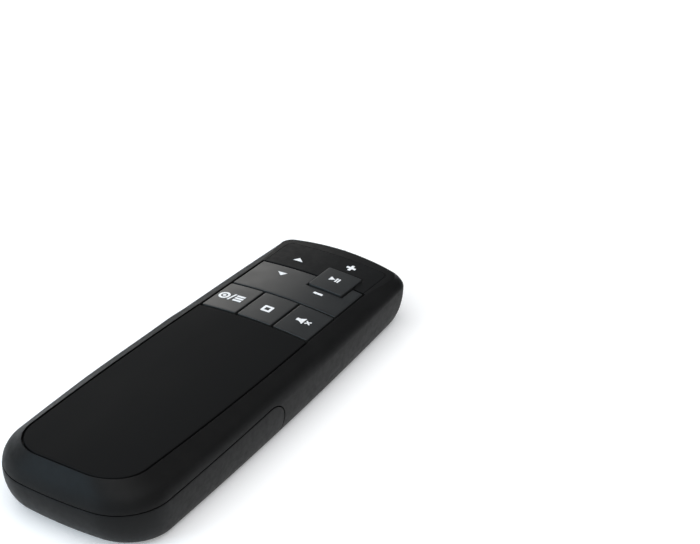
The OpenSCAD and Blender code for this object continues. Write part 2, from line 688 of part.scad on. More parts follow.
// printed signs, a thin layer on the crowned caps; each is drawn for a width of 1
module sign(x, y, up, w) {
    difference() {
        intersection() {
            slab(-3, 3) translate([x, y]) scale(w) children();
            crown(-up - print_t);
        }
        crown(-up);
    }
}
module arrow() {
    polygon([[-0.5, -0.24], [0.5, -0.24], [-0.12, 0.32]]);
}
module bar(turn) {
    rotate(turn) square([bar_l, bar_w], center = true);
}
module nose_legends() color([0.92, 0.92, 0.92]) {
    sign(-rock_x + 0.5, pad_y2 + 4.4, 0, arrow_w) arrow();
    sign(play_cx - 0.55, play_y1 + 3.3, 0, 1) {
        bar(0);
        bar(90);
    }
}
module band_legends() color([0.92, 0.92, 0.92]) {
    sign(-rock_x + 0.6, pad_y2 - 3.8, 0, arrow_w) rotate(180) arrow();
    sign(play_cx - 0.45, play_y0 - 2.2, 0, 1) bar(0);
}
module play_legend() color([0.92, 0.92, 0.92]) {
    sign(play_cx - 0.45, play_cy + 0.45, play_up, play_sign_w) {
        polygon([[-0.5, -0.33], [0.04, 0], [-0.5, 0.33]]);
        for (x = [0.1, 0.34]) translate([x, -0.33]) square([0.16, 0.66]);
    }
}
module screen_legend() color([0.92, 0.92, 0.92]) {
    sign(-third_x - 0.4, low_y + 0.1, 0, screen_sign_w) {
        translate([-0.31, 0]) {
            difference() {
                circle(r = 0.22);
                circle(r = 0.13);
            }
            circle(r = 0.07);
        }
        polygon([[-0.08, -0.22], [-0.01, -0.22], [0.1, 0.22], [0.02, 0.22]]);
        for (i = [0:2]) translate([0.14, -0.2 + i*0.15]) square([0.35, 0.1]);
    }
}
module stop_legend() color([0.92, 0.92, 0.92]) {
    sign(0, low_y - 0.3, 0, stop_sign_w) difference() {
        offset(r = 0.12) square(0.76, center = true);
        square(0.48, center = true);
    }
}
module mute_legend() color([0.92, 0.92, 0.92]) {
    sign(third_x - 0.2, low_y + 0.2, 0, mute_sign_w) {
        translate([-0.5, -0.13]) square([0.22, 0.26]);
        polygon([[-0.28, -0.13], [0.04, -0.34], [0.04, 0.34], [-0.28, 0.13]]);
        for (a = [-45, 45]) translate([0.32, 0]) rotate(a) square([0.46, 0.1], center = true);
    }
}

// board outline with cut front corners, its front edge drawn back
function board_pts(back) = let (y = board_y1 - back, c = y - board_corner, x = board_half - board_front)
    [[-board_half, board_y0], [board_half, board_y0], [board_half, c], [x, y], [-x, y], [-board_half, c]];
module key_frame() color([0.55, 0.56, 0.58]) {
    difference() {
        union() {
            slab(frame_d, frame_d + frame_t)
                polygon(board_pts(1.2));
            // spacers that stand on the board
            for (s = [-1, 1]) {
                pin(s*board_sx, board_sy, post_r, frame_d + 0.1, board_d);
                pin(s*(board_half - 1.7), board_y1 - 4.6, 1.0, frame_d + 0.1, board_d);
                pin(s*(board_half - 1.2), pad_y1 + 1.6, 0.9, frame_d + 0.1, board_d);
            }
        }
        for (s = [-1, 1]) pin(s*board_sx, board_sy, bore_r, 2, 7);
        for (i = [0, 1, 2]) {
            pin(dome_xy[i][0], dome_xy[i][1], stem_r + run_fit, 2, 7);
            for (s = [-1, 1]) pin(dome_xy[i][0], dome_xy[i][1] + peg_low*s, peg_r + run_fit, 2, 7);
        }
        pin(dome_xy[5][0], dome_xy[5][1], stem_r + run_fit, 2, 7);
        for (s = [-1, 1]) pin(play_cx + peg_play*s, play_cy, peg_r + run_fit, 2, 7);
        for (i = [3, 4, 6, 7]) pin(dome_xy[i][0], dome_xy[i][1], stem_r + 0.1, 2, 7);
    }
    ear(band_k0 + 0.1);
    ear(band_k1 - 1.2);
    ear(nose_k0 + 0.1);
    ear(nose_k1 - 1.2);
}

module keypad_mat() color([0.30, 0.32, 0.34]) {
    slab(board_d - mat_t, board_d) box2(2.8 - board_half, board_half - 2.8, pad_y0 + 1.5, board_y1 - 1.8);
    for (p = dome_xy)
        pad() translate([p[0], p[1], -board_d + 0.1]) cylinder(r1 = dome_r, r2 = stem_r, h = board_d - dome_d - 0.1);
}

module circuit_board() color([0.10, 0.30, 0.16]) {
    difference() {
        slab(board_d, board_d + board_t) polygon(board_pts(0));
        for (s = [-1, 1]) pin(s*board_sx, board_sy, bore_r, 5, 8);
    }
}
module controller_chip() color([0.08, 0.08, 0.09]) {
    slab(under, under + 1.0) box2(-9, -2, pad_y1 - 5.4, pad_y1 + 1.6);
}
module radio_chip() color([0.08, 0.08, 0.09]) {
    slab(under, under + 0.8) box2(-9, -5, pad_y2 - 4.9, pad_y2 - 0.9);
}
module crystal() color([0.75, 0.76, 0.78]) {
    slab(under, under + 0.7) box2(-3.2, 0, pad_y2 - 4.5, pad_y2 - 2);
}
module antenna() color([0.85, 0.83, 0.76]) {
    slab(under, under + 1.1) box2(2 - board_half, 4 - board_half, board_y1 - 11.6, board_y1 - 6.6);
}

module laser_barrel() color([0.72, 0.60, 0.34]) {
    difference() {
        translate([laser_x, barrel_y1 - barrel_l, laser_z]) rotate([-90, 0, 0]) cylinder(r = barrel_r, h = barrel_l);
        translate([laser_x, barrel_y1 - barrel_l - 1, laser_z]) rotate([-90, 0, 0]) cylinder(r = barrel_bore, h = barrel_l + 2);
    }
}
module laser_diode() color([0.75, 0.72, 0.60]) {
    translate([laser_x, barrel_y1 - barrel_l + 0.2, laser_z]) rotate([-90, 0, 0]) cylinder(r = barrel_bore, h = 1.2);
    translate([laser_x, barrel_y1 - barrel_l + 1.3, laser_z]) rotate([-90, 0, 0]) cylinder(r = 1.1, h = 1.6);
    for (s = [-1, 0, 1])
        translate([laser_x + 0.7*s, barrel_y1 - barrel_l - 2.2, laser_z]) rotate([-90, 0, 0]) cylinder(r = 0.2, h = 2.6);
}
module laser_lens() color([0.80, 0.88, 0.92]) {
    translate([laser_x, barrel_y1 - 1.6, laser_z]) rotate([-90, 0, 0]) cylinder(r = barrel_bore, h = 1.0);
}
module laser_window() color([0.25, 0.05, 0.05]) {
    translate([laser_x, barrel_y1 + 0.4, laser_z]) rotate([-90, 0, 0]) cylinder(r = window_r, h = 0.5);
}

module battery_tray() color([0.16, 0.16, 0.17]) {
    y0 = contact_y + plate_t;
    y1 = rear_y - plate_t - tray_end;
    floor_z = tray_z - 0.2;
    top = tab_z - 0.3;
    side_top = tray_z + tray_h;
    pocket_y = rx_y - 9.4;
    cap_y = rx_y - plug_l - cap_l - 2;
    difference() {
        union() {
            // end walls
            translate([1 - tray_half, y0, floor_z]) cube([2*tray_half - 2, tray_end, top - floor_z]);
            translate([-tray_half, y0, tray_z]) cube([2*tray_half, tray_end, tray_h]);
            translate([3.8 - tray_half, y1, tray_z]) cube([rx_wall_x + tray_wall + tray_half - 3.8, tray_end, top - tray_z]);
            // outer wall of the left cell
            translate([-tray_half, rear_y + 7, tray_z]) cube([tray_wall, y0 + 1.2 - rear_y - 7, tray_h]);
            // wall between the right cell and the receiver
            translate([rx_wall_x, y1, floor_z]) cube([tray_wall, y0 + tray_end - y1, top - floor_z]);
            // ribs over the cells
            for (y = [rear_y + 10, rear_y + 30]) {
                translate([0.6 - tray_half, y, 7.6]) cube([tray_half + rx_wall_x - 0.2, tray_end, top - 7.6]);
                translate([2.2 - tray_half, y, 10.6]) cube([tray_half + rx_wall_x - 1.6, tray_end, 2.4]);
            }
            // receiver pocket
            translate([rx_wall_x + 0.4, pocket_y, floor_z]) cube([rx_right - rx_wall_x - 0.35, rx_y + 0.8 - pocket_y, 6.6]);
            translate([rx_right, cap_y, tray_z]) cube([tray_wall, y0 + 1.2 - cap_y, tray_h]);
            translate([rx_wall_x + 0.4, cap_y, tray_z]) cube([rx_right + tray_wall - rx_wall_x - 0.4, tray_end, tray_h]);
            // screw tabs
            for (s = [-1, 1]) translate([s*tray_sx - 2.4, rx_y, tab_z - tab_t]) cube([4.8, tray_sy + 2.2 - rx_y, tab_t]);
            translate([rx_wall_x + 0.4, rx_sy - 2.9, tab_z - tab_t]) cube([rx_x + 2.4 - rx_wall_x, 5.4, tab_t]);
        }
        for (x = [cell_ax, cell_bx]) translate([x, rear_y, cell_z]) rotate([-90, 0, 0]) cylinder(r = cell_r + 0.1, h = contact_y - rear_y);
        translate([rx_x - plug_w/2 - plug_fit, pocket_y - 0.6, rx_z - plug_h/2 - plug_fit])
            cube([plug_w + 2*plug_fit, rx_y + 0.8 - pocket_y, plug_h + 2*plug_fit]);
        // room for the guide rails
        for (s = [-1, 1]) translate([s*(rail_x + 1.1) - 1.3, y1 - 6, side_top]) cube([2.6, y0 - y1 + 20, 5]);
        for (s = [-1, 1]) translate([s*tray_sx, tray_sy, 8]) cylinder(r = bore_r, h = 6);
        translate([rx_x, rx_sy, 8]) cylinder(r = bore_r, h = 6);
        for (x = lead_x) translate([x, contact_y, lead_z]) rotate([-90, 0, 0]) cylinder(r = lead_r + 0.2, h = 3);
    }
}

module cell(x, y0, s) {
    translate([x, y0, cell_z]) rotate([-90*s, 0, 0]) {
        cylinder(r = cell_r, h = cell_l - 1);
        translate([0, 0, cell_l - 1.1]) cylinder(r = 1.9, h = 1.1);
    }
}
module left_cell() color([0.62, 0.45, 0.20]) {
    cell(cell_ax, contact_y - cell_l, 1);
}
module right_cell() color([0.62, 0.45, 0.20]) {
    cell(cell_bx, rear_y + cell_l, -1);
}

// pressed coil spring along Y
function coil_pt(t, a, x, y, z, l, r0, r1) = let (r = r0 + (r1 - r0)*t, w = 1080*t, c = r + wire_r*cos(a))
    [x + c*cos(w), y + wire_r + (l - 2*wire_r)*t + wire_r*sin(a), z + c*sin(w)];
module coil(x, y, z, l, r0, r1) {
    n = 48;
    m = 6;
    pts = [for (i = [0:n], j = [0:m - 1]) coil_pt(i/n, j*360/m, x, y, z, l, r0, r1)];
    body = [for (i = [0:n - 1], j = [0:m - 1], t = [0, 1]) let (k = (j + 1)%m, a = i*m, b = a + m)
        t == 0 ? [a + j, b + j, b + k] : [a + j, b + k, a + k]];
    polyhedron(points = pts, faces = concat(body, [[for (j = [0:m - 1]) j]], [[for (j = [m - 1:-1:0]) n*m + j]]), convexity = 8);
}
module contact_springs() color([0.80, 0.80, 0.82]) {
    coil(cell_ax, rear_y, cell_z, spring_l, spring_r0, spring_r1);
    coil(cell_bx, contact_y - spring_l, cell_z, spring_l, spring_r1, spring_r0);
}
module plate(x0, x1, y) {
    translate([x0, y, plate_z]) cube([x1 - x0, plate_t, plate_h]);
}
module contact_plates() color([0.80, 0.80, 0.82]) {
    plate(cell_ax - 3.5, lead_x[0] + 0.6, contact_y);
    plate(cell_bx - 3.5, cell_bx + 3.5, contact_y);
    plate(cell_ax - 2, cell_bx + 3, rear_y - plate_t);
}
module lead(x, y1) {
    y0 = contact_y + plate_t;
    translate([x, y0, lead_z]) rotate([-90, 0, 0]) cylinder(r = lead_r, h = y1 - y0);
    translate([x, y1, lead_z]) sphere(r = lead_r, $fn = 24);
    translate([x, y1, lead_z]) cylinder(r = lead_r, h = top_z - under - lead_z);
}
module battery_leads() color([0.60, 0.08, 0.06]) {
    for (x = lead_x) difference() {
        lead(x, board_y0 + 5.4);
        slab(-5, under) box2(-board_half, board_half, board_y0 - 5, pad_y1);
    }
}

module receiver_plug() color([0.78, 0.79, 0.80]) {
    difference() {
        translate([rx_x - plug_w/2, rx_y - plug_l, rx_z - plug_h/2]) cube([plug_w, plug_l, plug_h]);
        translate([rx_x - plug_w/2 + 0.4, rx_y - 8, rx_z + 0.1]) cube([plug_w - 0.8, 9, plug_h/2 - 0.5]);
    }
}
module receiver_cap() color([0.09, 0.09, 0.09]) {
    y1 = rx_y - plug_l;
    intersection() {
        translate([rx_x - cap_w/2, y1 - cap_l, rx_z - cap_h/2]) cube([cap_w, cap_l, cap_h]);
        translate([rx_x, y1, rx_z - cap_h]) cylinder(r = cap_l, h = 2*cap_h, $fn = 96);
    }
}

module screw(x, y, z, l) {
    translate([x, y, z - head_h]) {
        difference() {
            cylinder(r = head_r, h = head_h);
            translate([-1.1, -0.2, -1]) cube([2.2, 0.4, 1.45]);
            translate([-0.2, -1.1, -1]) cube([0.4, 2.2, 1.45]);
        }
        translate([0, 0, head_h - 0.1]) cylinder(r = screw_r, h = l + 0.1);
    }
}
module cover_screws() color([0.35, 0.35, 0.37]) {
    for (s = [-1, 1]) screw(s*cover_sx, cover_sy, 1, cover_screw_l);
}
module board_screws() color([0.35, 0.35, 0.37]) {
    for (s = [-1, 1]) pad() screw(s*board_sx, board_sy, -under, under - 2.4);
}
module tray_screws() color([0.35, 0.35, 0.37]) {
    for (s = [-1, 1]) screw(s*tray_sx, tray_sy, tab_z - tab_t, tray_screw_l);
    screw(rx_x, rx_sy, tab_z - tab_t, tray_screw_l);
}

top_shell();
bottom_cover();
battery_door();
palm_panel();
nose_rocker();
band_rocker();
play_key();
screen_key();
stop_key();
mute_key();
nose_legends();
band_legends();
play_legend();
screen_legend();
stop_legend();
mute_legend();
key_frame();
keypad_mat();
circuit_board();
controller_chip();
radio_chip();
crystal();
antenna();
laser_barrel();
laser_diode();
laser_lens();
laser_window();
battery_tray();
left_cell();
right_cell();
contact_springs();
contact_plates();
battery_leads();
receiver_plug();
receiver_cap();
cover_screws();
board_screws();
tray_screws();
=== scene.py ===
import math

import bmesh
import bpy
from mathutils import Matrix, Vector
from mathutils.bvhtree import BVHTree


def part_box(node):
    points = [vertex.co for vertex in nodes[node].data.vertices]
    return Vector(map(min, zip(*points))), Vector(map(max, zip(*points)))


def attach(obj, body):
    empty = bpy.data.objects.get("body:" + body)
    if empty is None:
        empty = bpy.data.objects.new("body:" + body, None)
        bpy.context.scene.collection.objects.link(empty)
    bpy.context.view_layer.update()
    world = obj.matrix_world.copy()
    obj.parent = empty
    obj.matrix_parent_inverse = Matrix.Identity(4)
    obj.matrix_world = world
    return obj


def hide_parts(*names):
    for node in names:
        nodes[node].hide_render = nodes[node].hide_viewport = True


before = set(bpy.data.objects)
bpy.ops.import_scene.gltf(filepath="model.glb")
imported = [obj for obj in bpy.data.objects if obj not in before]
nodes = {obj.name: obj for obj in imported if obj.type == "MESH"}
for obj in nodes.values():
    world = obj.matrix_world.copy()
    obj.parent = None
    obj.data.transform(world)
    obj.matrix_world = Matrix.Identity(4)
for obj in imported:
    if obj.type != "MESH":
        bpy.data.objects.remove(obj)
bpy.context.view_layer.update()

# Meshes are made in millimetres, as the part is drawn, and scaled to metres when a piece is placed.
MM = 0.001

# ---------------------------------------------------------------- sizes of the body, mm
BODY_L = 119.6
HALF_MID, HALF_NOSE, HALF_TAIL = 21.03, 18.2, 21.2
NOSE_BOW, TAIL_BOW = 3.05, 2.1
NOSE_R, TAIL_R, NOSE_TURN = 3.7, 13.0, 0.18
TOP_Z, TOP_TILT, CROWN_R = 15.91, math.radians(2.443), 143.7
WIDE_Z, INNER_WIDE_DROP = 9.9, 0.5
BELLY_SIDE, BELLY_NOSE, BELLY_TAIL, INNER_BELLY = 3.2, 5.6, 7.4, 0.8
SHOULDER_Z, SHOULDER_STEP, SHOULDER_FALL = 13.45, 0.6, 0.028
SHOULDER_IN, SHOULDER_IN_REAR = 1.7, 0.65
NOSE_IN = 0.1
WALL, RIM = 1.8, 0.55
YF = BODY_L / 2

# key pad, along the crowned top
PAD_Y0, PAD_Y1, PAD_Y2, PAD_Y3 = 16.72, 29.43, 42.93, 54.2
PAD_HALF, PAD_TAPER, NOSE_HALF = 15.35, 0.0224, 14.4
KEY_GAP, HAIR_GAP, NOTCH_GAP = 0.25, 0.12, 0.25
PLAY_X0, PLAY_X1, PLAY_Y0, PLAY_Y1, PLAY_UP = 1.6, 11.3, 38.0, 47.7, 0.4
PLAY_X, PLAY_Y = (PLAY_X0 + PLAY_X1) / 2, (PLAY_Y0 + PLAY_Y1) / 2
LOW_Y, THIRD_X, ROCK_X, PIVOT_X = (PAD_Y0 + PAD_Y1) / 2, PAD_HALF * 2 / 3, 7.5, -0.6
PEG_LOW, PEG_PLAY = 3.9, 2.9
KEY_T, SKIRT_D, SKIRT_T, PLAY_SKIRT_T, OPENING_D = 1.2, 3.15, 0.8, 0.9, 5.2
KEY_R, PLAY_R, ROCKER_R = 0.35, 0.5, 0.3
STEM_R, ROCKER_STEM_R, PEG_R, PEG_HEAD, PEG_HEAD_T = 1.3, 1.1, 0.8, 0.35, 0.5
# the rod that a rocker tilts on stands back from the rocker's rear and front; the keel joins it to the cap
PIVOT_R, PIVOT_D, PIVOT_REAR, PIVOT_BAND, PIVOT_NOSE, KEEL_IN = 0.6, 3.0, 1.27, 1.03, 1.0, 1.6
FRAME_D, FRAME_T, DOME_D, STEM_TOP = 3.6, 0.8, 4.6, 0.9
BOARD_D, BOARD_T = 5.7, 1.0

# palm panel
PANEL_Y0, PANEL_HALF, PANEL_BOW, PANEL_R = -56.4, 15.35, 0.69, 10.0
PANEL_SAG, PANEL_T, PANEL_GAP, DECK_T = 0.66, 1.2, 0.4, 1.5
EDGE_NOSE, EDGE_BOW, EDGE_HALF, EDGE_R, NOSE_CORNER = 2.37, 1.7, 15.9, 2.6, 1.5
ROOF_DROP = PANEL_T + DECK_T

# battery door and bottom cover
SEAM_Z, DOOR_Y, DOOR_R, SEAM_GAP = 10.9, -1.2, 5.5, 0.25
RAIL_X, RAIL_T, RAIL_Z0, RAIL_Z1, RAIL_Y0, RAIL_Y1 = 17.6, 1.2, 8.9, 13.4, -46.0, -2.0
GROOVE_Z, GROOVE_D, GROOVE_H, RIB_H, RIB_FIT, RIB_FOOT_X = SEAM_Z - 1, 0.6, 1.1, 0.8, 0.25, 20.2
COVER_HALF, COVER_Y0, COVER_Y1, COVER_T, COVER_GAP, LEDGE, LEDGE_W = 13.6, 0.4, 50.5, 1.6, 0.15, 1.35, 2.4
COVER_SX, COVER_SY, BOARD_SX, BOARD_SY, TRAY_SX, TRAY_SY = 11.0, 6.4, 12.4, 13.2, 12.0, 0.4
POST_R, BORE_R, TAB_Z, TAB_T = 2.0, 1.0, 11.9, 1.5
RX_X, RX_SY = 11.2, -41.5
# lower and upper ends of the screw posts and their bores; the receiver's start where the tray's do
COVER_POST, COVER_BORE = (COVER_T + 0.3, 13.0), (0, 8)
TRAY_POST, TRAY_BORE = (TAB_Z, TAB_Z + 1.4), (TAB_Z - 1, TAB_Z + 1.2)
BOARD_POST, BOARD_BORE = (-FRAME_D, -2.2), (-6, -2.3)
RX_POST_H, RX_BORE_H = 3.4, 1.8

# laser
LASER_X, LASER_Z, BARREL_R, BARREL_Y1 = 4.4, 4.4, 2.2, 56.6
APERTURE_R, WINDOW_R, WINDOW_IN = 1.4, 1.9, 0.4

# cells, contact springs and screws
CELL_AX, CELL_BX, CELL_Z, CELL_Y0, CELL_Y1 = -12.0, -1.2, 7.35, -49.1, -7.5
SPRING_L, SPRING_R0, SPRING_R1, WIRE_R = 2.9, 3.2, 2.2, 0.3
HEAD_R, HEAD_H, CORE_R, PITCH, SLOT_L, SLOT_W = 1.8, 0.9, 0.8, 0.75, 2.2, 0.4
COVER_SEAT, COVER_SCREW_L, TRAY_SCREW_L, BOARD_SCREW_TOP = 1.0, 6.0, 3.1, 2.4

# roundings that a mould gives
LIP = 0.05
PANEL_LIP = 0.06
HAIR_LIP = 0.015
CAP_EDGE = 0.09
HAIR_EDGE = 0.02
PANEL_EDGE = 0.15
# how far the caps and the panel stand back from their drawn outlines
CAP_IN = 0.06
PANEL_IN = 0.1
# edges that turn by more than this stay sharp
SHARP_ANGLE = math.radians(32)


# ---------------------------------------------------------------- widths and heights
def ease(t):
    t = min(max(t, 0.0), 1.0)
    return t * t * (3 - 2 * t)


def body_width(y):
    t = y / YF
    return HALF_MID + (HALF_NOSE - HALF_TAIL) / 2 * t + ((HALF_NOSE + HALF_TAIL) / 2 - HALF_MID) * t * t


def key_width(y):
    return PAD_HALF - PAD_TAPER * (y - PAD_Y0)


def panel_width(y):
    t = (y - PANEL_Y0) / (PAD_Y0 - PANEL_Y0)
    return PANEL_HALF + 4 * PANEL_BOW * t * (1 - t)


def top_width(y):
    if y < PAD_Y0:
        return panel_width(y)
    if y < PAD_Y2:
        return key_width(y)
    front = key_width(PAD_Y2)
    return front + (EDGE_HALF - front) * ease((y - PAD_Y2) / 12)


def top_height(x, y):
    return TOP_Z - y * math.tan(TOP_TILT) - x * x / (2 * CROWN_R)


def shoulder_height(y):
    if y < 18:
        return SHOULDER_Z - SHOULDER_STEP * ease((y - 8) / 10)
    return SHOULDER_Z - SHOULDER_STEP - SHOULDER_FALL * (y - 18)


def shoulder_inset(y):
    return SHOULDER_IN_REAR + (SHOULDER_IN - SHOULDER_IN_REAR) * ease((y + 25) / 35)


def shoulder_round(y):
    return 0.6 + 1.0 * ease((25 - y) / 45)


# ---------------------------------------------------------------- level outlines of the body
N_FRONT, N_FRONT_CORNER, N_SIDE, N_REAR_CORNER, N_REAR = 22, 10, 72, 22, 12


def half_outline(width, nose_y, tail_y, nose_bow, tail_bow, nose_r, tail_r):
    """Right half of a level outline, from the middle of the nose round to the middle of the tail."""
    w_nose = width(nose_y - 0.7 * nose_bow - nose_r)
    c_nose = w_nose - nose_r
    p_nose = math.atan(2 * nose_bow * c_nose / w_nose**2)
    x_nose = c_nose + nose_r * math.sin(p_nose)
    y_nose = nose_y - nose_bow * (x_nose / w_nose) ** 2 - nose_r * math.cos(p_nose)
    w_tail = width(tail_y + tail_bow / 2 + tail_r)
    c_tail = w_tail - tail_r
    p_tail = math.atan(2 * tail_bow * c_tail / w_tail**2)
    x_tail = c_tail + tail_r * math.sin(p_tail)
    y_tail = tail_y + tail_bow * (x_tail / w_tail) ** 2 + tail_r * math.cos(p_tail)
    points = []
    for i in range(N_FRONT):
        x = x_nose * i / N_FRONT
        points.append((x, nose_y - nose_bow * (x / w_nose) ** 2))
    for i in range(N_FRONT_CORNER + 1):
        a = (math.pi / 2 - p_nose) * (1 - i / N_FRONT_CORNER)
        points.append((c_nose + nose_r * math.cos(a), y_nose + nose_r * math.sin(a)))
    for i in range(1, N_SIDE):
        y = y_nose + (y_tail - y_nose) * i / N_SIDE
        points.append((width(y), y))
    for i in range(N_REAR_CORNER + 1):
        a = -(math.pi / 2 - p_tail) * i / N_REAR_CORNER
        points.append((c_tail + tail_r * math.cos(a), y_tail + tail_r * math.sin(a)))
    for i in range(1, N_REAR + 1):
        x = x_tail * (1 - i / N_REAR)
        points.append((x, tail_y + tail_bow * (x / w_tail) ** 2))
    return points


def body_outline(inset, nose_in, tail_in, nose_r, tail_r):
    return half_outline(
        lambda y: body_width(y) - inset, YF - nose_in, tail_in - YF, NOSE_BOW, TAIL_BOW, nose_r, tail_r
    )


def belly_ring(angle, wall):
    """Ring of the underside's rounding; wall is 0 outside and the wall's thickness inside."""
    k = (INNER_BELLY if wall else 1.0) * (1 - math.sin(angle))
    widest = WIDE_Z - INNER_WIDE_DROP if wall else WIDE_Z
    z = wall + (widest - wall) * (1 - math.cos(angle))
    outline = body_outline(
        wall + BELLY_SIDE * k,
        wall + BELLY_NOSE * k,
        wall + BELLY_TAIL * k,
        NOSE_R - wall if wall else NOSE_R - NOSE_TURN * BELLY_NOSE * k,
        TAIL_R - wall - 0.5 * BELLY_TAIL * k,
    )
    return [Vector((x, y, z)) for x, y in outline]


def crease_ring(wall, drop):
    outline = body_outline(wall, wall + NOSE_IN, wall + SHOULDER_IN_REAR, NOSE_R - wall, TAIL_R - wall)
    shares = [1 - shoulder_inset(y) / body_width(y) for _, y in outline]
    return [Vector((x * share, y, shoulder_height(y) - drop)) for (x, y), share in zip(outline, shares)]


def edge_ring():
    ends = (YF - EDGE_NOSE, PANEL_Y0 - PANEL_GAP, EDGE_BOW, PANEL_SAG)
    outline = half_outline(lambda y: top_width(y) + RIM, *ends, EDGE_R, PANEL_R + RIM)
    return [Vector((x, y, top_height(x, y))) for x, y in outline]


def bend(a, control, b, t):
    return a * (1 - t) ** 2 + control * (2 * t * (1 - t)) + b * t * t


def outer_rings():
    """Belly, bulged wall, rounded shoulder line, shoulder and rounded top edge, from the bottom up."""
    belly_steps, wall_steps, round_steps, shoulder_steps, edge_steps = 15, 7, 8, 6, 3
    bulge, edge_reach, roof_reach = 1.84, 0.25, 0.1
    rings = [belly_ring(math.pi / 2 * i / belly_steps, 0.0) for i in range(belly_steps + 1)]
    wide, crease, edge = rings[-1], crease_ring(0.0, 0.0), edge_ring()

    def wall_point(w, c, t):
        flat = w.lerp(c, t**bulge)
        return Vector((flat.x, flat.y, w.z + (c.z - w.z) * t))

    columns = []
    for w, c, e in zip(wide, crease, edge):
        size = shoulder_round(c.y)
        stop = 1 - min(size, 0.9 * (c.z - w.z)) / (c.z - w.z)
        column = [wall_point(w, c, stop * i / wall_steps) for i in range(1, wall_steps + 1)]
        low, high = column[-1], c + (e - c).normalized() * size
        column += [bend(low, c, high, i / round_steps) for i in range(1, round_steps + 1)]
        near = e + (c - e).normalized() * edge_reach
        column += [high.lerp(near, i / shoulder_steps) for i in range(1, shoulder_steps + 1)]
        inward = Vector((-e.x, -(e.y - c.y) if abs(e.x) < 0.01 else 0.0, 0)).normalized()
        inner = e + inward * roof_reach
        inner.z = top_height(inner.x, inner.y)
        column += [bend(near, e, inner, i / edge_steps) for i in range(1, edge_steps + 1)]
        columns.append(column)
    return rings + [list(ring) for ring in zip(*columns)]


def inner_rings():
    """The hollow: belly, wall up to just under the roof, and a slope beside the shoulder."""
    belly_steps, roof_steps, start_share = 9, 4, 0.6
    rings = [belly_ring(math.pi / 2 * i / belly_steps, WALL) for i in range(belly_steps + 1)]
    crease, edge, low = crease_ring(0.0, 0.0), edge_ring(), crease_ring(WALL, 1.0)
    columns = []
    for w, c, e, start in zip(rings[-1], crease, edge, low):
        slope = e - c
        room = start_share * (top_height(w.x, w.y) - ROOF_DROP - w.z)
        if start.z - w.z > room:
            start = w.lerp(start, room / (start.z - w.z))
        reach = 1.0
        for _ in range(8):
            p = start + slope * reach
            reach = (top_height(p.x, p.y) - ROOF_DROP - start.z) / slope.z
        columns.append([start + slope * (reach * i / roof_steps) for i in range(roof_steps + 1)])
    return rings + [list(ring) for ring in zip(*columns)]


# ---------------------------------------------------------------- mesh tools
def close_end(bm, loop, height, steps=26):
    """Closes a mirrored loop with rows from right to left whose height is a formula."""
    rows = []
    for i in range(len(loop) // 2 + 1):
        right, left = loop[i], loop[-i]
        if right is left:
            rows.append([right] * (steps + 1))
            continue
        across = [right.co.lerp(left.co, k / steps) for k in range(1, steps)]
        middle = [bm.verts.new((p.x, p.y, height(p.x, p.y))) for p in across]
        rows.append([right, *middle, left])
    for near, far in zip(rows, rows[1:]):
        for k in range(steps):
            corners = list(dict.fromkeys((near[k], near[k + 1], far[k + 1], far[k])))
            bm.faces.new(corners)


def loft(name, rings, floor, roof):
    """Closed solid through a stack of right-half rings and their mirror images."""
    bm, loops = bmesh.new(), []
    for ring in rings:
        mirrored = [Vector((-p.x, p.y, p.z)) for p in ring[-2:0:-1]]
        loops.append([bm.verts.new(p) for p in ring + mirrored])
    skin_between(bm, loops, closed=False)
    close_end(bm, loops[0], floor)
    close_end(bm, loops[-1], roof)
    return to_object(name, bm)


def skin_between(bm, loops, closed):
    pairs = list(zip(loops, loops[1:])) + ([(loops[-1], loops[0])] if closed else [])
    for low, high in pairs:
        for i in range(len(low)):
            j = (i + 1) % len(low)
            bm.faces.new((low[j], low[i], high[i], high[j]))


def to_object(name, bm):
    bmesh.ops.recalc_face_normals(bm, faces=bm.faces)
    mesh = bpy.data.meshes.new(name)
    bm.to_mesh(mesh)
    bm.free()
    return add_object(name, mesh)


def add_object(name, data):
    piece = bpy.data.objects.new(name, data)
    bpy.context.collection.objects.link(piece)
    return piece


def mesh_of(piece):
    bm = bmesh.new()
    bm.from_mesh(piece.data)
    return bm


def settle(piece):
    """Turns a piece and its modifiers into a plain mesh."""
    bpy.context.view_layer.update()
    deps = bpy.context.evaluated_depsgraph_get()
    mesh = bpy.data.meshes.new_from_object(piece.evaluated_get(deps))
    piece.modifiers.clear()
    piece.data = mesh


def carve(piece, tool, how="DIFFERENCE", crossing=False):
    """Cuts a piece with a tool or joins them; the tool is used up."""
    change = piece.modifiers.new(how, "BOOLEAN")
    change.operation, change.solver, change.object = how, "EXACT", tool
    change.use_self = crossing
    settle(piece)
    bpy.data.objects.remove(tool)


def polygon_grow(points, d):
    """Moves each side of an outline outwards by d; the outline runs round in either sense."""
    count = len(points)
    following = points[1:] + points[:1]
    area = sum(p[0] * q[1] - q[0] * p[1] for p, q in zip(points, following))
    sense = 1 if area > 0 else -1
    grown = []
    for i, p in enumerate(points):
        before = (Vector(p) - Vector(points[i - 1])).normalized()
        after = (Vector(points[(i + 1) % count]) - Vector(p)).normalized()
        n1, n2 = Vector((before.y, -before.x)) * sense, Vector((after.y, -after.x)) * sense
        middle = (n1 + n2).normalized()
        shift = middle * (d / max(middle.dot(n1), 0.3))
        grown.append((p[0] + shift.x, p[1] + shift.y))
    return grown


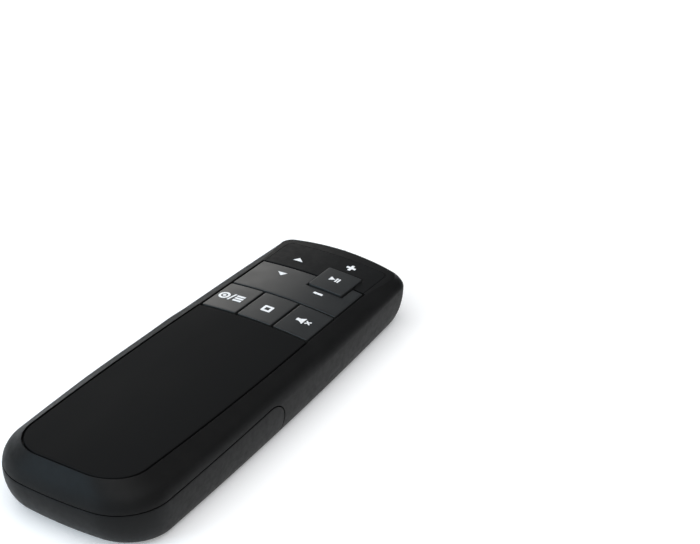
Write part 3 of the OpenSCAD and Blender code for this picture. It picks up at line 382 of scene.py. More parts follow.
def round_corners(points, radius, steps=5):
    """Replaces each corner of an outline by an arc."""
    result = []
    count = len(points)
    for i, p in enumerate(points):
        r = radius[i] if isinstance(radius, (list, tuple)) else radius
        here = Vector(p)
        back = (Vector(points[i - 1]) - here).normalized()
        ahead = (Vector(points[(i + 1) % count]) - here).normalized()
        angle = back.angle(ahead)
        if r <= 0 or angle > math.radians(178):
            result.append(tuple(here))
            continue
        reach = r / math.tan(angle / 2)
        centre = here + (back + ahead).normalized() * (r / math.sin(angle / 2))
        start, end = here + back * reach - centre, here + ahead * reach - centre
        turn = start.angle_signed(end)
        for k in range(steps + 1):
            a = -turn * k / steps
            c, s = math.cos(a), math.sin(a)
            spun = Vector((start.x * c - start.y * s, start.x * s + start.y * c))
            result.append(tuple(centre + spun))
    return result


def profile_solid(bm, outline, profile):
    """Closed solid whose rings are the outline grown by profile's offsets at its heights."""
    loops = []
    for offset, height in profile:
        loops.append([bm.verts.new((x, y, height)) for x, y in polygon_grow(outline, offset)])
    skin_between(bm, loops, closed=False)
    bm.faces.new(loops[0])
    bm.faces.new(loops[-1])


def quarter(radius, steps, at_offset, at_height, flare=False):
    """Points of a rounded edge: a convex edge of a solid, or with flare the mouth of an opening."""
    angles = [math.pi / 2 * i / steps for i in range(steps + 1)]
    way = radius if flare else -radius
    return [(at_offset + way * (1 - math.cos(a)), at_height - radius * (1 - math.sin(a))) for a in angles]


def lay_on_crown(bm, pitch=1.0, level=None):
    """Bends a flat solid onto the crowned, tilted top; height 0 becomes its surface.

    What lies at the height named level keeps it, as the level rim of a skirt does.
    """
    bmesh.ops.triangulate(bm, faces=[f for f in bm.faces if len(f.verts) > 4])
    reach = max(abs(v.co.x) for v in bm.verts)
    count = int(reach / pitch)
    for i in range(-count, count + 1):
        everything = bm.verts[:] + bm.edges[:] + bm.faces[:]
        bmesh.ops.bisect_plane(bm, geom=everything, plane_co=(i * pitch, 0, 0), plane_no=(1, 0, 0), dist=1e-5)
    for v in bm.verts:
        if level is None or v.co.z > level + 0.001:
            v.co.z += math.sqrt(CROWN_R**2 - v.co.x**2) - CROWN_R
    bm.transform(top_frame())


def top_frame():
    """Places what is drawn in the top's own frame: crest at height 0, +Y along the slope to the nose."""
    return Matrix.Translation((0, 0, TOP_Z)) @ Matrix.Rotation(-TOP_TILT, 4, "X")


def block(bm, x0, x1, y0, y1, z0, z1):
    """Box between two corners; the order of x0 and x1 doesn't matter."""
    x0, x1 = min(x0, x1), max(x0, x1)
    size = Matrix.Diagonal((x1 - x0, y1 - y0, z1 - z0, 1))
    middle = Matrix.Translation(((x0 + x1) / 2, (y0 + y1) / 2, (z0 + z1) / 2))
    return bmesh.ops.create_cube(bm, size=1, matrix=middle @ size)["verts"]


def rod(bm, start, end, radius, sides=32):
    """Round rod between two points."""
    start, end = Vector(start), Vector(end)
    turn = (end - start).to_track_quat("Z", "Y").to_matrix().to_4x4()
    place = Matrix.Translation((start + end) / 2) @ turn
    shape = {"segments": sides, "radius1": radius, "radius2": radius, "depth": (end - start).length}
    bmesh.ops.create_cone(bm, cap_ends=True, matrix=place, **shape)


def turned(bm, axis_x, axis_z, profile):
    """Solid turned round an axis along Y; profile lists (y, radius) from the rear to the front."""
    sides = 48
    spokes = [(math.cos(2 * math.pi * i / sides), math.sin(2 * math.pi * i / sides)) for i in range(sides)]
    loops = [[bm.verts.new((axis_x + r * c, y, axis_z + r * s)) for c, s in spokes] for y, r in profile]
    skin_between(bm, loops, closed=False)
    bm.faces.new(loops[0])
    bm.faces.new(loops[-1])


def place(piece, body, material, slot, replaced):
    """Scales a finished piece to metres, gives it its finish, ties it to its body and hides the CAD node that
    it replaces.
    """
    mesh = piece.data
    mesh.transform(Matrix.Scale(MM, 4))
    mesh.shade_smooth()
    mesh.set_sharp_from_angle(angle=SHARP_ANGLE)
    mesh.materials.clear()
    mesh.materials.append(material)
    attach(piece, body)
    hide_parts(replaced)


# ---------------------------------------------------------------- outlines drawn in the top's frame
def panel_outline(grow):
    corner_y = PANEL_Y0 + PANEL_R
    w = panel_width(corner_y) + grow
    r = PANEL_R + grow
    cx = w - r
    side_steps, corner_steps, rear_steps = 44, 18, 6
    front = PAD_Y0 - KEY_GAP
    right = []
    for i in range(side_steps):
        y = front + (corner_y - front) * i / side_steps
        right.append((panel_width(y) + grow, y))
    for i in range(corner_steps + 1):
        a = -math.pi / 2 * i / corner_steps
        sag = PANEL_SAG * (cx / 14) ** 2 * i / corner_steps
        right.append((cx + r * math.cos(a), corner_y + r * math.sin(a) + sag))
    for i in range(1, rear_steps + 1):
        x = cx * (1 - i / rear_steps)
        right.append((x, PANEL_Y0 - grow + PANEL_SAG * (x / 14) ** 2))
    return right + [(-x, y) for x, y in reversed(right[:-1])]


def lower_key_outline(f0, f1):
    a, b = PAD_Y0 + KEY_GAP, PAD_Y1 - KEY_GAP
    return [
        (f0 * key_width(a) + KEY_GAP, a),
        (f1 * key_width(a) - KEY_GAP, a),
        (f1 * key_width(b) - KEY_GAP, b),
        (f0 * key_width(b) + KEY_GAP, b),
    ]


def band_outline():
    a, b = PAD_Y1 + KEY_GAP, PAD_Y2 - KEY_GAP
    wa, wb = key_width(a) - KEY_GAP, key_width(b) - KEY_GAP
    x0, x1, y = PLAY_X0 - NOTCH_GAP, PLAY_X1 + NOTCH_GAP, PLAY_Y0 - NOTCH_GAP
    return [(-wa, a), (wa, a), (wb, b), (x1, b), (x1, y), (x0, y), (x0, b), (-wb, b)]


def nose_outline():
    b = PAD_Y2 + KEY_GAP
    x0, x1, y = PLAY_X0 - NOTCH_GAP, PLAY_X1 + NOTCH_GAP, PLAY_Y1 + NOTCH_GAP
    n, e = NOSE_HALF, PAD_Y3
    return [(-n, b), (x0, b), (x0, y), (x1, y), (x1, b), (n, b), (n, e), (-n, e)]


def lower_opening():
    a, b = PAD_Y0 - KEY_GAP - 0.02, PAD_Y2 + KEY_GAP - HAIR_GAP
    wa, wb = key_width(a) + KEY_GAP, key_width(b) + KEY_GAP
    return [(-wa, a), (wa, a), (wb, b), (-wb, b)]


def nose_opening():
    n, a, b = NOSE_HALF + HAIR_GAP, PAD_Y2 - 1, PAD_Y3 + HAIR_GAP
    return round_corners([(-n, a), (n, a), (n, b), (-n, b)], [0, 0, NOSE_CORNER, NOSE_CORNER], steps=8)


# ---------------------------------------------------------------- shells
def seam_path(skin):
    """Points and outward directions of the door's seam: right half, from the tail round to the underside."""
    tail_steps, side_steps, corner_steps, wall_steps, turn_y = 44, 24, 14, 9, -40
    fall_start, fall = 13.8, 14.2
    spins = [math.radians(-90 + 90 * i / tail_steps) for i in range(tail_steps)]
    rays = [((0, turn_y, SEAM_Z), (math.cos(a), math.sin(a), 0)) for a in spins]
    corner_y, corner_z = DOOR_Y - DOOR_R, SEAM_Z - DOOR_R
    lengths = [turn_y + (corner_y - turn_y) * i / side_steps for i in range(side_steps)]
    rays += [((0, y, SEAM_Z), (1, 0, 0)) for y in lengths]
    for i in range(corner_steps + 1):
        a = math.radians(90 * (1 - i / corner_steps))
        rays.append(((0, corner_y + DOOR_R * math.cos(a), corner_z + DOOR_R * math.sin(a)), (1, 0, 0)))
    falls = [math.radians(-fall_start - fall * i / wall_steps) for i in range(wall_steps + 1)]
    rays += [((0, DOOR_Y, WIDE_Z), (math.cos(a), 0, math.sin(a))) for a in falls]
    hits = [skin.ray_cast(Vector(start), Vector(way))[:2] for start, way in rays]
    hits += [(Vector((x, DOOR_Y, 0)), Vector((0, 0, -1))) for x in (15.5, 10.0, 5.0, 0.0)]
    return hits


def seam_cutter(skin):
    """Thin band that follows the seam: it parts the door from the shell and rounds both lips."""
    right = seam_path(skin)
    left = [(Vector((-p.x, p.y, p.z)), Vector((-n.x, n.y, n.z))) for p, n in reversed(right[1:-1])]
    path = right + left
    half, lip, depth, out = SEAM_GAP / 2, 0.12, 2.6, 0.8
    mouth = [(h, o + half) for o, h in quarter(lip, 4, 0, 0, flare=True)]
    side = [(-depth, half), *mouth, (out, half + lip)]
    section = side + [(u, -v) for u, v in reversed(side)]
    bm, loops = bmesh.new(), []
    for i, (p, n) in enumerate(path):
        before, after = path[i - 1], path[(i + 1) % len(path)]
        along = (after[0] - before[0]).normalized()
        outward = (after[1] + n * 2 + before[1]).normalized()
        across = outward.cross(along).normalized()
        loops.append([bm.verts.new(p + outward * u + across * v) for u, v in section])
    skin_between(bm, loops, closed=True)
    return to_object("seam_tool", bm)


def split_islands(piece):
    """Parts a mesh into its loose solids, each a list of its faces' numbers."""
    bm = mesh_of(piece)
    bm.faces.ensure_lookup_table()
    seen, islands = set(), []
    for first in bm.faces:
        if first.index in seen:
            continue
        seen.add(first.index)
        stack, island = [first], []
        while stack:
            face = stack.pop()
            island.append(face.index)
            for edge in face.edges:
                for other in edge.link_faces:
                    if other.index not in seen:
                        seen.add(other.index)
                        stack.append(other)
        islands.append(island)
    bm.free()
    return sorted(islands, key=len, reverse=True)


def keep_island(source, island):
    """Copy of a mesh that keeps one of its loose solids."""
    bm = mesh_of(source)
    bm.faces.ensure_lookup_table()
    kept = set(island)
    bmesh.ops.delete(bm, geom=[f for f in bm.faces if f.index not in kept], context="FACES")
    return to_object("half", bm)


def housing_walls():
    """Hollow body, parted along the seam into the upper shell and the door."""
    body = loft("body_wall", outer_rings(), lambda x, y: 0.0, top_height)
    skin = BVHTree.FromPolygons([v.co for v in body.data.vertices], [p.vertices for p in body.data.polygons])
    hollow = loft("body_hollow", inner_rings(), lambda x, y: WALL, lambda x, y: top_height(x, y) - ROOF_DROP)
    carve(body, hollow)
    carve(body, seam_cutter(skin), crossing=True)
    parts = [keep_island(body, island) for island in split_islands(body)[:2]]
    parts.sort(key=lambda part: max(v.co.z for v in part.data.vertices))
    bpy.data.objects.remove(body)
    door, shell = parts
    return shell, door


def crowned_tool(name, outline, depth, lip):
    """Cutter for an opening in the top, with a rounded mouth that follows the surface."""
    bm = bmesh.new()
    profile = [(0, -depth)] + quarter(lip, 4, 0, 0, flare=True) + [(lip, 1.0)]
    profile_solid(bm, outline, profile)
    lay_on_crown(bm)
    return to_object(name, bm)


def screw_rods(bm, radius, cover, tray, board, receiver_top):
    """Rods on the axes of the screws: cover, tray and board give their lower and upper ends."""
    for s in (-1, 1):
        rod(bm, (s * COVER_SX, COVER_SY, cover[0]), (s * COVER_SX, COVER_SY, cover[1]), radius)
        rod(bm, (s * TRAY_SX, TRAY_SY, tray[0]), (s * TRAY_SX, TRAY_SY, tray[1]), radius)
        ends = [top_frame() @ Vector((s * BOARD_SX, BOARD_SY, z)) for z in board]
        rod(bm, *ends, radius)
    rod(bm, (RX_X, RX_SY, tray[0]), (RX_X, RX_SY, receiver_top), radius)


def add_shell_fittings(shell):
    """Ledge for the bottom cover, guide rails of the door, and screw posts, the board's among them."""
    bm = bmesh.new()
    x0, x1 = COVER_HALF - LEDGE, COVER_HALF + LEDGE_W
    y0, y1, z0, z1, less = DOOR_Y + 0.2, COVER_Y1 + 1, 0.5, 3.0, 0.1
    # the cross block is a little smaller, so that no two faces lie in one plane
    block(bm, less - x1, x1 - less, y0, COVER_Y0 + LEDGE + 0.3, z0 + less, z1 - less)
    for s in (-1, 1):
        block(bm, s * x0, s * x1, y0 + 0.6, y1, z0, z1)
    carve(shell, to_object("ledge", bm), "UNION", crossing=True)
    bm = bmesh.new()
    for s in (-1, 1):
        block(bm, s * RAIL_X, s * (RAIL_X + RAIL_T), RAIL_Y0, RAIL_Y1, RAIL_Z0, RAIL_Z1)
    screw_rods(bm, POST_R, COVER_POST, TRAY_POST, BOARD_POST, TAB_Z + RX_POST_H)
    carve(shell, to_object("posts", bm), "UNION")


def cut_shell_openings(shell):
    """Panel recess, key openings, cover opening, door grooves, screw bores and the laser's seat."""
    carve(shell, crowned_tool("panel_recess", panel_outline(PANEL_GAP), PANEL_T, PANEL_LIP))
    carve(shell, crowned_tool("key_opening", lower_opening(), OPENING_D, LIP))
    carve(shell, crowned_tool("nose_opening", nose_opening(), OPENING_D, HAIR_LIP))
    half, y0, y1 = COVER_HALF + COVER_GAP, COVER_Y0 - COVER_GAP, COVER_Y1 + COVER_GAP
    cover = round_corners([(-half, y0), (half, y0), (half, y1), (-half, y1)], 0.5)
    bm = bmesh.new()
    mouth = [(o, -h) for o, h in reversed(quarter(LIP, 4, 0, 0, flare=True))]
    profile_solid(bm, cover, [(LIP, -1.0), *mouth, (0, COVER_T)])
    carve(shell, to_object("cover_opening", bm))
    bm = bmesh.new()
    half = COVER_HALF - LEDGE
    block(bm, -half, half, COVER_Y0 + LEDGE, COVER_Y1 + COVER_GAP, -1, COVER_T + 1.7)
    carve(shell, to_object("cover_rebate", bm))
    bm = bmesh.new()
    for s in (-1, 1):
        a, b = s * (RAIL_X + RAIL_T - GROOVE_D), s * (RAIL_X + RAIL_T + 0.4)
        block(bm, a, b, RAIL_Y0 - 1, -3.6, GROOVE_Z - GROOVE_H / 2, GROOVE_Z + GROOVE_H / 2)
    screw_rods(bm, BORE_R, COVER_BORE, TRAY_BORE, BOARD_BORE, TAB_Z + RX_BORE_H)
    carve(shell, to_object("bores", bm))
    bm = bmesh.new()
    window_y = BARREL_Y1 + WINDOW_IN
    seat_y, seat_r = BARREL_Y1 + 0.05, BARREL_R + 0.05
    steps = [(50, seat_r), (seat_y, seat_r), (seat_y, APERTURE_R), (window_y, APERTURE_R)]
    turned(bm, LASER_X, LASER_Z, [*steps, (window_y, WINDOW_R), (62, WINDOW_R)])
    carve(shell, to_object("laser_seat", bm))


def add_door_ribs(door):
    """Ribs inside the door's walls that run in the grooves of the rails."""
    bm = mesh_of(door)
    x0 = RAIL_X + RAIL_T - GROOVE_D + RIB_FIT
    for s in (-1, 1):
        block(bm, s * x0, s * RIB_FOOT_X, RAIL_Y0 + 2, -4, GROOVE_Z - RIB_H / 2, GROOVE_Z + RIB_H / 2)
    bm.to_mesh(door.data)
    bm.free()


def make_panel():
    """Palm panel: a crowned plate with a rounded rim."""
    bm = bmesh.new()
    rim = quarter(PANEL_EDGE, 5, -PANEL_IN, 0)
    profile = [(-PANEL_IN, -PANEL_T), *rim, (-PANEL_IN - PANEL_EDGE - 0.8, 0)]
    profile_solid(bm, panel_outline(0), profile)
    lay_on_crown(bm)
    return to_object("palm_grip_panel", bm)


# ---------------------------------------------------------------- keys
def key_cap(name, outline, hollows, up=0.0, edge=CAP_EDGE):
    """Crowned cap with a rounded rim and a skirt; its underside is left hollow."""
    bm = bmesh.new()
    inset = 0.0 if edge < CAP_EDGE else -CAP_IN
    profile = [(inset, -SKIRT_D)] + quarter(edge, 4, inset, up) + [(inset - edge - 0.35, up)]
    profile_solid(bm, outline, profile)
    lay_on_crown(bm, level=-SKIRT_D)
    cap = to_object(name, bm)
    for hollow in hollows:
        tool = bmesh.new()
        profile_solid(tool, hollow, [(0, -SKIRT_D - 1), (0, up - KEY_T)])
        lay_on_crown(tool, pitch=3.0)
        carve(cap, to_object("hollow", tool))
    return cap


def box_outline(x0, x1, y0, y1):
    return [(x0, y0), (x1, y0), (x1, y1), (x0, y1)]


def pins(bm, sizes):
    """Round pins under a cap, each (x, y, radius, upper depth, lower depth) in the top's frame."""
    for x, y, r, d0, d1 in sizes:
        rod(bm, top_frame() @ Vector((x, y, -d1)), top_frame() @ Vector((x, y, -d0)), r, sides=28)


def plunger_pins(x, y, dx, dy, up):
    """Stem on the dome and two guide pegs whose heads catch under the key frame."""
    top, under = STEM_TOP - up, FRAME_D + FRAME_T
    sizes = [(x, y, STEM_R, top, DOME_D)]
    for s in (-1, 1):
        peg = (x + s * dx, y + s * dy)
        sizes.append((*peg, PEG_R, top, under + 0.1))
        sizes.append((*peg, PEG_R + PEG_HEAD, under + 0.05, under + 0.05 + PEG_HEAD_T))
    return sizes


def with_pins(cap, sizes, keel=None):
    """Adds the pins to a cap and, for a rocker, the keel and the rod that it tilts on."""
    bm = mesh_of(cap)
    pins(bm, sizes)
    if keel:
        y0, y1 = keel
        x0, x1 = PIVOT_X - PIVOT_R, PIVOT_X + PIVOT_R
        verts = block(bm, x0, x1, y0 + KEEL_IN, y1 - KEEL_IN, -PIVOT_D, -0.7)
        bmesh.ops.transform(bm, matrix=top_frame(), verts=verts)
        ends = [top_frame() @ Vector((PIVOT_X, y, -PIVOT_D)) for y in keel]
        rod(bm, *ends, PIVOT_R)
    bm.to_mesh(cap.data)
    bm.free()
    return cap


def make_lower_key(name, f0, f1, x):
    outline = lower_key_outline(f0, f1)
    cap = key_cap(name, round_corners(outline, KEY_R, 3), [polygon_grow(outline, -SKIRT_T)])
    return with_pins(cap, plunger_pins(x, LOW_Y, 0, PEG_LOW, 0))


def make_play_key():
    outline = box_outline(PLAY_X0, PLAY_X1, PLAY_Y0, PLAY_Y1)
    hollow = polygon_grow(outline, -PLAY_SKIRT_T)
    cap = key_cap("play_button", round_corners(outline, PLAY_R, 4), [hollow], PLAY_UP)
    return with_pins(cap, plunger_pins(PLAY_X, PLAY_Y, PEG_PLAY, 0, PLAY_UP))


def rocker_stems(*places):
    return [(x, y, ROCKER_STEM_R, STEM_TOP, DOME_D) for x, y in places]


def make_band():
    keel = (PAD_Y1 + PIVOT_REAR, PAD_Y2 - PIVOT_BAND)
    low, wide = keel[0] - 0.2, key_width(PAD_Y2)
    hollows = [
        box_outline(1.2 - wide, PLAY_X0 - SKIRT_T, low, keel[1] + 0.15),
        box_outline(PLAY_X0 - SKIRT_T - 0.01, wide - 1.4, low, PLAY_Y0 - NOTCH_GAP - SKIRT_T),
    ]
    cap = key_cap("band_button", round_corners(band_outline(), ROCKER_R, 3), hollows)
    stems = rocker_stems((-ROCK_X, (PAD_Y1 + PAD_Y2) / 2), (PLAY_X, (PAD_Y1 + PLAY_Y0) / 2))
    return with_pins(cap, stems, keel)


def make_nose():
    keel = (PAD_Y2 + PIVOT_REAR, PAD_Y3 - PIVOT_NOSE)
    far = PAD_Y3 - SKIRT_T
    hollows = [
        box_outline(SKIRT_T - NOSE_HALF, PLAY_X0 - SKIRT_T, keel[0] - 0.2, far),
        box_outline(PLAY_X0 - SKIRT_T - 0.01, NOSE_HALF - SKIRT_T, PLAY_Y1 + NOTCH_GAP + SKIRT_T, far),
    ]
    radii = [ROCKER_R] * 6 + [NOSE_CORNER - HAIR_GAP] * 2
    cap = key_cap("nose_button", round_corners(nose_outline(), radii, 6), hollows, edge=HAIR_EDGE)
    stems = rocker_stems((-ROCK_X, (PAD_Y2 + PAD_Y3) / 2), (PLAY_X + 0.5, (PLAY_Y1 + PAD_Y3) / 2))
    return with_pins(cap, stems, keel)


# ---------------------------------------------------------------- what repeats or follows a path
class Tree:
    """A geometry tree: a cloud of points goes in, copies of one solid on those points come out."""

    def __init__(self, name, material, **sizes):
        self.group = bpy.data.node_groups.new(name, "GeometryNodeTree")
        self.group.interface.new_socket("Geometry", in_out="INPUT", socket_type="NodeSocketGeometry")
        self.group.interface.new_socket("Geometry", in_out="OUTPUT", socket_type="NodeSocketGeometry")
        for label in sizes:
            self.group.interface.new_socket(label, in_out="INPUT", socket_type="NodeSocketFloat")
        self.sizes, self.material = sizes, material
        self.inputs = self.group.nodes.new("NodeGroupInput").outputs

    def add(self, kind, inputs=None, **settings):
        node = self.group.nodes.new(kind)
        for key, value in settings.items():
            setattr(node, key, value)
        for key, value in (inputs or {}).items():
            for one in value if isinstance(value, list) else [value]:
                if isinstance(one, bpy.types.NodeSocket):
                    self.group.links.new(one, node.inputs[key])
                else:
                    node.inputs[key].default_value = one
        return node.outputs[0]

    def maths(self, operation, a, b):
        return self.add("ShaderNodeMath", {0: a, 1: b}, operation=operation)

    def point(self, x, y, z):
        return self.add("ShaderNodeCombineXYZ", {"X": x, "Y": y, "Z": z})

    def moved(self, shape, place, turn=(0, 0, 0)):
        return self.add("GeometryNodeTransform", {"Geometry": shape, "Translation": place, "Rotation": turn})

    def can(self, radius, height, top=None):
        """Round solid that stands on height 0; top is the radius of its far end."""
        ends = {"Radius Top": radius if top is None else top, "Radius Bottom": radius, "Depth": height}
        return self.add("GeometryNodeMeshCone", {"Vertices": 48, **ends})

    def coil(self, turns, r0, r1, height, wire, steps, sides):
        """Round wire wound up along Z."""
        shape = {"Resolution": steps, "Rotations": turns, "Height": height}
        path = self.add("GeometryNodeCurveSpiral", {**shape, "Start Radius": r0, "End Radius": r1})
        ring = self.add("GeometryNodeCurvePrimitiveCircle", {"Resolution": sides, "Radius": wire})
        return self.add("GeometryNodeCurveToMesh", {"Curve": path, "Profile Curve": ring, "Fill Caps": True})

    def grow(self, name, shape, points, spin):
        """Puts the solid on the points, each turned by spin more than the last, and keeps a plain mesh."""
        index = self.add("GeometryNodeInputIndex")
        turn = self.point(0.0, 0.0, self.maths("MULTIPLY", index, spin))
        copies = {"Points": self.inputs[0], "Instance": shape, "Rotation": turn}
        spread = self.add("GeometryNodeInstanceOnPoints", copies)
        solid = self.add("GeometryNodeRealizeInstances", {0: spread})
        painted = self.add("GeometryNodeSetMaterial", {"Geometry": solid, "Material": self.material})
        self.group.links.new(painted, self.group.nodes.new("NodeGroupOutput").inputs[0])
        mesh = bpy.data.meshes.new(name)
        mesh.from_pydata(points, [], [])
        piece = add_object(name, mesh)
        change = piece.modifiers.new("grow", "NODES")
        change.node_group = self.group
        for item in self.group.interface.items_tree:
            if item.in_out == "INPUT" and item.name in self.sizes:
                change[item.identifier] = self.sizes[item.name]
        settle(piece)
        return piece


def make_springs(metal):
    """Cone-shaped contact springs of the two cells, wound from the plate to the cell."""
    sizes = {"Turns": 3.5, "Plate_Radius": SPRING_R0, "Cell_Radius": SPRING_R1}
    sizes |= {"Length": SPRING_L, "Wire": WIRE_R}
    tree = Tree("spring_tree", metal, **sizes)
    turns, r0, r1, length, wire = (tree.inputs[label] for label in sizes)
    height = tree.maths("SUBTRACT", length, tree.maths("MULTIPLY", wire, 2.1))
    coil = tree.coil(turns, r0, r1, height, wire, 160, 16)
    laid = tree.moved(coil, (0, 0, 0), (-math.pi / 2, 0, 0))
    centred = tree.moved(laid, tree.point(0.0, tree.maths("MULTIPLY", height, -0.5), 0.0))
    places = [(CELL_AX, CELL_Y0 - SPRING_L / 2, CELL_Z), (CELL_BX, CELL_Y1 + SPRING_L / 2, CELL_Z)]
    return tree.grow("cell_springs", centred, places, spin=math.pi)


def make_screws(name, metal, places, length):
    """Pan-head screws with a cross recess and a cut thread, heads down."""
    crown_share, face_share, sunk, thread_in, thread_r = 0.4, 0.78, 0.1, 0.35, 0.14
    sizes = {"Head_Radius": HEAD_R, "Head_Height": HEAD_H, "Core_Radius": CORE_R, "Length": length}
    tree = Tree(name + "_tree", metal, **sizes)
    head_r, head_h, core_r, shank = (tree.inputs[label] for label in sizes)
    crown_h = tree.maths("MULTIPLY", head_h, crown_share)
    crown = tree.can(tree.maths("MULTIPLY", head_r, face_share), crown_h, top=head_r)
    flat_h = tree.maths("SUBTRACT", head_h, crown_h)
    flat = tree.moved(tree.can(head_r, flat_h), tree.point(0.0, 0.0, crown_h))
    head = tree.add("GeometryNodeMeshBoolean", {1: [crown, flat]}, operation="UNION", solver="EXACT")
    arms = [(SLOT_L, SLOT_W, HEAD_H), (SLOT_W, SLOT_L, HEAD_H)]
    cross = [tree.add("GeometryNodeMeshCube", {"Size": arm}) for arm in arms]
    cut = {0: head, 1: cross}
    recessed = tree.add("GeometryNodeMeshBoolean", cut, operation="DIFFERENCE", solver="EXACT")
    full = tree.maths("ADD", shank, sunk)
    start = tree.maths("SUBTRACT", head_h, sunk)
    core = tree.moved(tree.can(core_r, full), tree.point(0.0, 0.0, start))
    thread_h = tree.maths("SUBTRACT", shank, PITCH)
    thread = tree.coil(length / PITCH - 1, core_r, core_r, thread_h, thread_r, 24, 5)
    wound = tree.moved(thread, tree.point(0.0, 0.0, tree.maths("ADD", head_h, thread_in)))
    joined = tree.add("GeometryNodeJoinGeometry", {0: [recessed, core, wound]})
    return tree.grow(name, joined, places, spin=0.6)


# ---------------------------------------------------------------- finishes
class Finish:
    """A material: one principled shader fed by nodes that read Object coordinates."""

    def __init__(self, name, **settings):
        self.material = bpy.data.materials.new(name)
        self.material.use_nodes = True
        self.tree = self.material.node_tree
        self.shader = self.tree.nodes["Principled BSDF"]
        for key, value in settings.items():
            self.shader.inputs[key.replace("_", " ").title().replace("Ior", "IOR")].default_value = value
        self.coords = self.tree.nodes.new("ShaderNodeTexCoord").outputs["Object"]

    def add(self, kind, inputs=None, **settings):
        node = self.tree.nodes.new(kind)
        for key, value in settings.items():
            setattr(node, key, value)
        for key, value in (inputs or {}).items():
            self.feed(value, node.inputs[key])
        return node

    def feed(self, value, socket):
        if isinstance(value, bpy.types.NodeSocket):
            self.tree.links.new(value, socket)
        else:
            socket.default_value = value

    def stretched(self, x, y, z):
        return self.add("ShaderNodeMapping", {"Vector": self.coords, "Scale": (x, y, z)}).outputs["Vector"]

    def noise(self, scale, detail=3.0, coords=None):
        inputs = {"Vector": coords or self.coords, "Scale": scale, "Detail": detail}
        return self.add("ShaderNodeTexNoise", inputs).outputs["Fac"]

    def cells(self, scale):
        return self.add("ShaderNodeTexVoronoi", {"Vector": self.coords, "Scale": scale}).outputs["Distance"]

    def span(self, value, low, high, to_low, to_high):
        inputs = {"Value": value, "From Min": low, "From Max": high, "To Min": to_low, "To Max": to_high}
        return self.add("ShaderNodeMapRange", inputs).outputs["Result"]

    def maths(self, operation, a, b=0.0):
        return self.add("ShaderNodeMath", {0: a, 1: b}, operation=operation).outputs[0]

    def blend(self, share, a, b):
        node = self.add("ShaderNodeMix", data_type="RGBA")
        self.feed(share, node.inputs[0])
        self.feed(a, node.inputs[6])
        self.feed(b, node.inputs[7])
        return node.outputs[2]

    def axis(self, name):
        return self.add("ShaderNodeSeparateXYZ", {"Vector": self.coords}).outputs[name]

    def relief(self, height, distance, strength=1.0, over=None):
        inputs = {"Height": height, "Distance": distance, "Strength": strength}
        if over is not None:
            inputs["Normal"] = over
        return self.add("ShaderNodeBump", inputs).outputs["Normal"]

    def wear(self, colour, roughness, normal=None):
        self.feed(colour, self.shader.inputs["Base Color"])
        self.feed(roughness, self.shader.inputs["Roughness"])
        if normal is not None:
            self.feed(normal, self.shader.inputs["Normal"])
        return self.material


def grey(value, warmth=0.0):
    return (value * (1 + warmth), value, value * (1 - warmth), 1.0)


def dimmed(colour, share):
    return (*[c * share for c in colour], 1)


def moulded(name, tone, rough, grain=0.00001, grain_scale=5200, spec=0.3, warmth=0.0):
    """Spark-textured moulded plastic: fine grain, slow shading of the tone and faint rub marks."""
    f = Finish(name, specular_ior_level=spec)
    cloud = f.noise(130, 4)
    pits = f.noise(grain_scale, 2)
    rub = f.noise(700, 5)
    colour = f.blend(f.span(cloud, 0.3, 0.7, 0, 1), grey(tone * 0.86, warmth), grey(tone * 1.14, warmth))
    worn = f.span(rub, 0.35, 0.75, rough - 0.05, rough + 0.05)
    roughness = f.maths("ADD", worn, f.span(pits, 0, 1, -0.04, 0.04))
    waves = f.relief(cloud, 0.00004, 0.25)
    return f.wear(colour, roughness, f.relief(pits, grain, 0.7, over=waves))


def soft_panel(name, tone, rough):
    """Soft-touch lacquer: smooth, with a very fine orange peel and slow polish marks."""
    f = Finish(name, specular_ior_level=0.05)
    peel = f.noise(2600, 2)
    polish = f.noise(60, 3, f.stretched(1, 0.4, 1))
    colour = f.blend(polish, grey(tone * 0.9), grey(tone * 1.1))
    roughness = f.span(polish, 0.3, 0.7, rough - 0.04, rough + 0.05)
    return f.wear(colour, roughness, f.relief(peel, 0.000006, 0.6))


def satin_cap(name, tone, rough, spec, tint=(1.0, 1.0, 1.0)):
    """Satin key cap: lacquered plastic with faint finger polish."""
    f = Finish(name, specular_ior_level=spec)
    peel = f.noise(3400, 2)
    touch = f.noise(240, 4)
    base = [tone * c for c in tint]
    colour = f.blend(touch, dimmed(base, 0.93), dimmed(base, 1.07))
    roughness = f.span(touch, 0.3, 0.7, rough - 0.03, rough + 0.04)
    return f.wear(colour, roughness, f.relief(peel, 0.000004, 0.5))


def white_print(name):
    """Pad-printed ink: white with pinholes and a slightly uneven film."""
    f = Finish(name, specular_ior_level=0.4)
    film = f.noise(2600, 3)
    colour = f.blend(f.span(film, 0.25, 0.5, 0, 1), grey(0.74), grey(0.86))
    return f.wear(colour, 0.5, f.relief(film, 0.000004, 0.5))


def clear_part(name, tint):
    """Clear plastic with faint flow marks."""
    f = Finish(name, transmission_weight=1.0, ior=1.49)
    swirl = f.noise(700, 2)
    return f.wear(f.blend(swirl, (*tint, 1), dimmed(tint, 0.94)), f.span(swirl, 0, 1, 0.03, 0.06))


def wire_jacket(name):
    """Red insulation of the leads."""
    f = Finish(name, specular_ior_level=0.5)
    skin = f.noise(1800, 3)
    colour = f.blend(skin, (0.32, 0.015, 0.012, 1), (0.42, 0.03, 0.02, 1))
    return f.wear(colour, f.span(skin, 0, 1, 0.3, 0.42))


